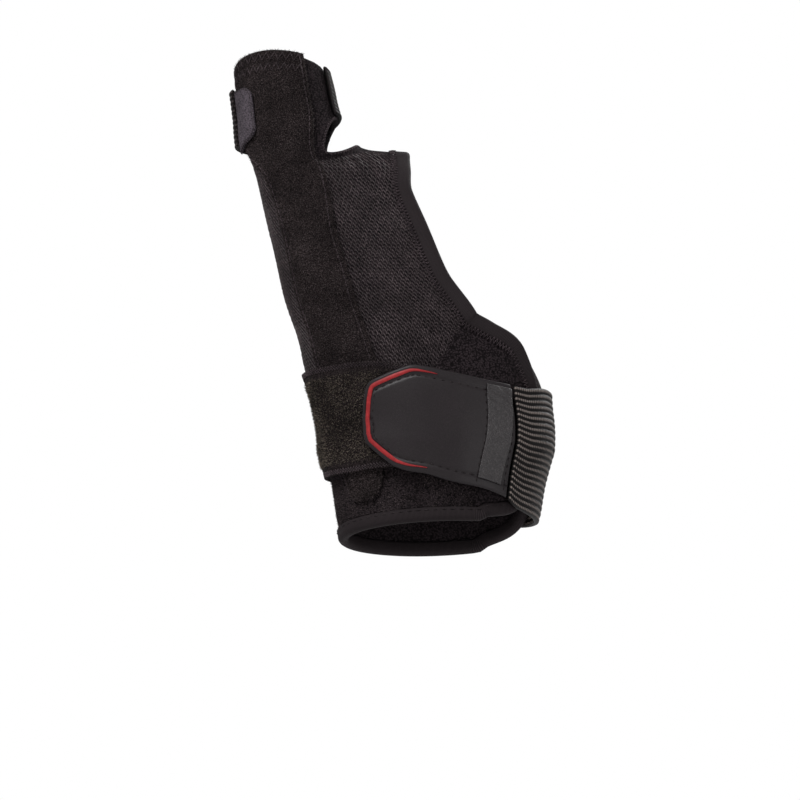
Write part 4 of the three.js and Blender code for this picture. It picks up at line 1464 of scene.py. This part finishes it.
    def _patch_seams(self) -> None:
        """Makes the seam inside the patch's outline and the one across it."""
        sewer = Stitcher(self.maker, self.form)
        threads = []
        outline = self._outline(50.5, 50.5).spaced(0.55)
        base = self._patch_height(outline.angle) + self.layers.patch
        points = outline.at(np.full(len(base), -self.seam_inset * self._inside(outline)), base - 0.12)
        dips = outline.at(np.full(len(base), -self.seam_inset * self._inside(outline)), base - 0.5)
        for k in range(0, len(points) - 4, 5):
            threads.append(np.array([dips[k], points[k + 1], points[k + 2], dips[k + 3]]))
        for top_angle, low_angle in ((63.9, 69.4), (50.0, 51.5)):
            share = np.linspace(0, 1, 60)
            a = low_angle + (top_angle - low_angle) * share
            low, high = self._patch_edges(a)
            z = low + 1.5 + (high - low - 3.0) * share
            trail = Trail(self.form, a, self.form.level_at(a, z)).spaced(0.55)
            height = self._patch_height(trail.angle) + self.layers.patch
            up, down = trail.at(np.zeros(len(height)), height + 0.12), trail.at(np.zeros(len(height)), height - 0.3)
            for k in range(0, len(up) - 4, 5):
                threads.append(np.array([down[k], up[k + 1], up[k + 2], down[k + 3]]))
        sewer.sew("patch_seam", threads, DARK_THREAD, "synthetic_leather", 0.17, 5)

    def _inside(self, trail: Trail) -> float:
        """Returns 1 or -1, so that minus it times the aside direction points into the patch."""
        middle = self.form.over(90.0, float(self.form.level_at(90.0, 4.0)), 6.0)
        return 1.0 if (trail.aside[0] @ (middle - trail.points[0])) < 0 else -1.0

    def _piping(self) -> None:
        """Makes the red line inside the patch's outline, thin at its ends."""
        trail = self._outline(self.piping_bottom, self.piping_top).spaced(0.8)
        toward = -self._inside(trail)
        base = self._patch_height(trail.angle) + self.layers.patch + 0.05
        run = trail.run
        ends = np.minimum(run, run[-1] - run)
        size = np.clip(0.15 + 0.85 * ends / 14, 0.15, 1)

        def shape(k: int) -> Grid:
            """Returns the line's profile at a stop."""
            wide = self.piping_width * float(size[k])
            near = self.piping_inset + (self.piping_width - wide) / 2
            low = float(base[k])
            side = np.array([near, near, near + 0.15, near + wide / 2, near + wide - 0.15, near + wide, near + wide])
            tall = np.array([low - 0.3, low + 0.12, low + 0.22, low + 0.27, low + 0.22, low + 0.12, low - 0.3])
            return np.stack([toward * side, tall], 1)

        made = trail.tube(self.maker, "patch_red_line", shape)
        self.maker.finish(made, RED_TRIM, "red_trim", ("patch_piping",))

    def _strip(self) -> None:
        """Makes the grained strip across the patch's wide end, with creases at its upper end."""
        share = np.linspace(0, 1, 61)[:, None]
        across = np.linspace(0, 1, 141)[None, :]
        angle = self.strip_from + (self.strip_to - self.strip_from) * share + self.strip_lean * (1 - 2 * across)
        low, high = self._patch_edges(angle)
        z = low + self.strip_below + (high - low - self.strip_above - self.strip_below) * across
        base = self._patch_height(angle) + self.layers.patch + 0.02
        layer = Layer(self.form, angle, self.form.level_at(angle, z), base, self.layers.trim, 0.5)
        u, v = np.moveaxis(layer.coordinates(), -1, 0)
        top = np.exp(-(((v / v.max() - 0.9) / 0.14) ** 2))
        creases = 0.2 * top * np.sin(v * 2.0 + u * 0.9 + 0.8 * np.sin(u * 0.7)) + 0.12 * smooth_noise(u, v, 2.4, 6)
        made = layer.build(self.maker, "patch_grain_strip", creases)
        self.maker.finish(made, GRAIN_LEATHER, "synthetic_leather", ("grain_strip",))


@dataclass
class Studio:
    """The camera, the lights, the pale floor and the white surroundings."""

    distance: float = 2.0
    elevation: float = -10.0
    frame_width: float = 0.288
    centre: tuple[float, float] = (-0.0126, 0.018)
    floor_drop: float = 0.45

    def build(self) -> None:
        """Builds the studio."""
        self._camera()
        self._lights()
        self._floor()

    def _camera(self) -> None:
        """Makes the camera at the photo's angle."""
        lens = bpy.data.cameras.new("view")
        lens.sensor_width = 36.0
        lens.lens = 36.0 * self.distance / self.frame_width
        lens.clip_start = 0.05
        lens.clip_end = 20.0
        camera = bpy.data.objects.new("view", lens)
        tilt = math.radians(self.elevation)
        forward = np.array([0.0, math.cos(tilt), -math.sin(tilt)])
        up = np.array([0.0, math.sin(tilt), math.cos(tilt)])
        target = np.array([self.centre[0], 0.0, 0.0]) + up * self.centre[1]
        camera.location = target - forward * self.distance
        camera.rotation_euler = (math.pi / 2 - tilt, 0.0, 0.0)
        bpy.context.scene.collection.objects.link(camera)
        bpy.context.scene.camera = camera

    def _lights(self) -> None:
        """Makes soft lights and a white world."""
        scene = bpy.context.scene
        world = bpy.data.worlds.new("studio")
        world.use_nodes = True
        world.node_tree.nodes["Background"].inputs["Color"].default_value = (1, 1, 1, 1)
        world.node_tree.nodes["Background"].inputs["Strength"].default_value = 1.0
        scene.world = world
        scene.view_settings.view_transform = "Standard"
        for name, place, size, power in (
            ("key", (-0.5, -0.75, 0.8), 0.3, 26.0),
            ("fill", (0.8, -0.8, 0.0), 0.6, 5.0),
            ("rim", (0.5, 0.6, 0.7), 0.5, 10.0),
        ):
            light = bpy.data.lights.new(name, "AREA")
            light.energy, light.size = power, size
            lamp = bpy.data.objects.new(name, light)
            lamp.location = place
            lamp.rotation_euler = (Vector((-0.01, 0, 0.04)) - Vector(place)).to_track_quat("-Z", "Y").to_euler()
            scene.collection.objects.link(lamp)

    def _floor(self) -> None:
        """Makes the wide pale floor below the splint."""
        count, radius = 96, 6.0
        turn = np.linspace(0, 2 * math.pi, count, endpoint=False)
        rim = np.stack([radius * np.cos(turn), radius * np.sin(turn), np.full(count, -self.floor_drop)], 1)
        data = bpy.data.meshes.new("floor")
        data.from_pydata(rim.tolist(), [], [list(range(count))])
        floor = bpy.data.objects.new("floor", data)
        floor.data.materials.append(FLOOR_PAINT.material())
        bpy.context.scene.collection.objects.link(floor)


def main() -> None:
    """Builds the splint and its studio in order."""
    logging.basicConfig(level=logging.INFO, format="%(name)s: %(message)s")
    form, maker, layers = WornForm(), Maker(), Layers()
    Studio().build()
    MeshWrap(form, maker, layers).build()
    StayPocket(form, maker, layers).build()
    Bands(form, maker, layers).build()


if __name__ == "__main__":
    main()
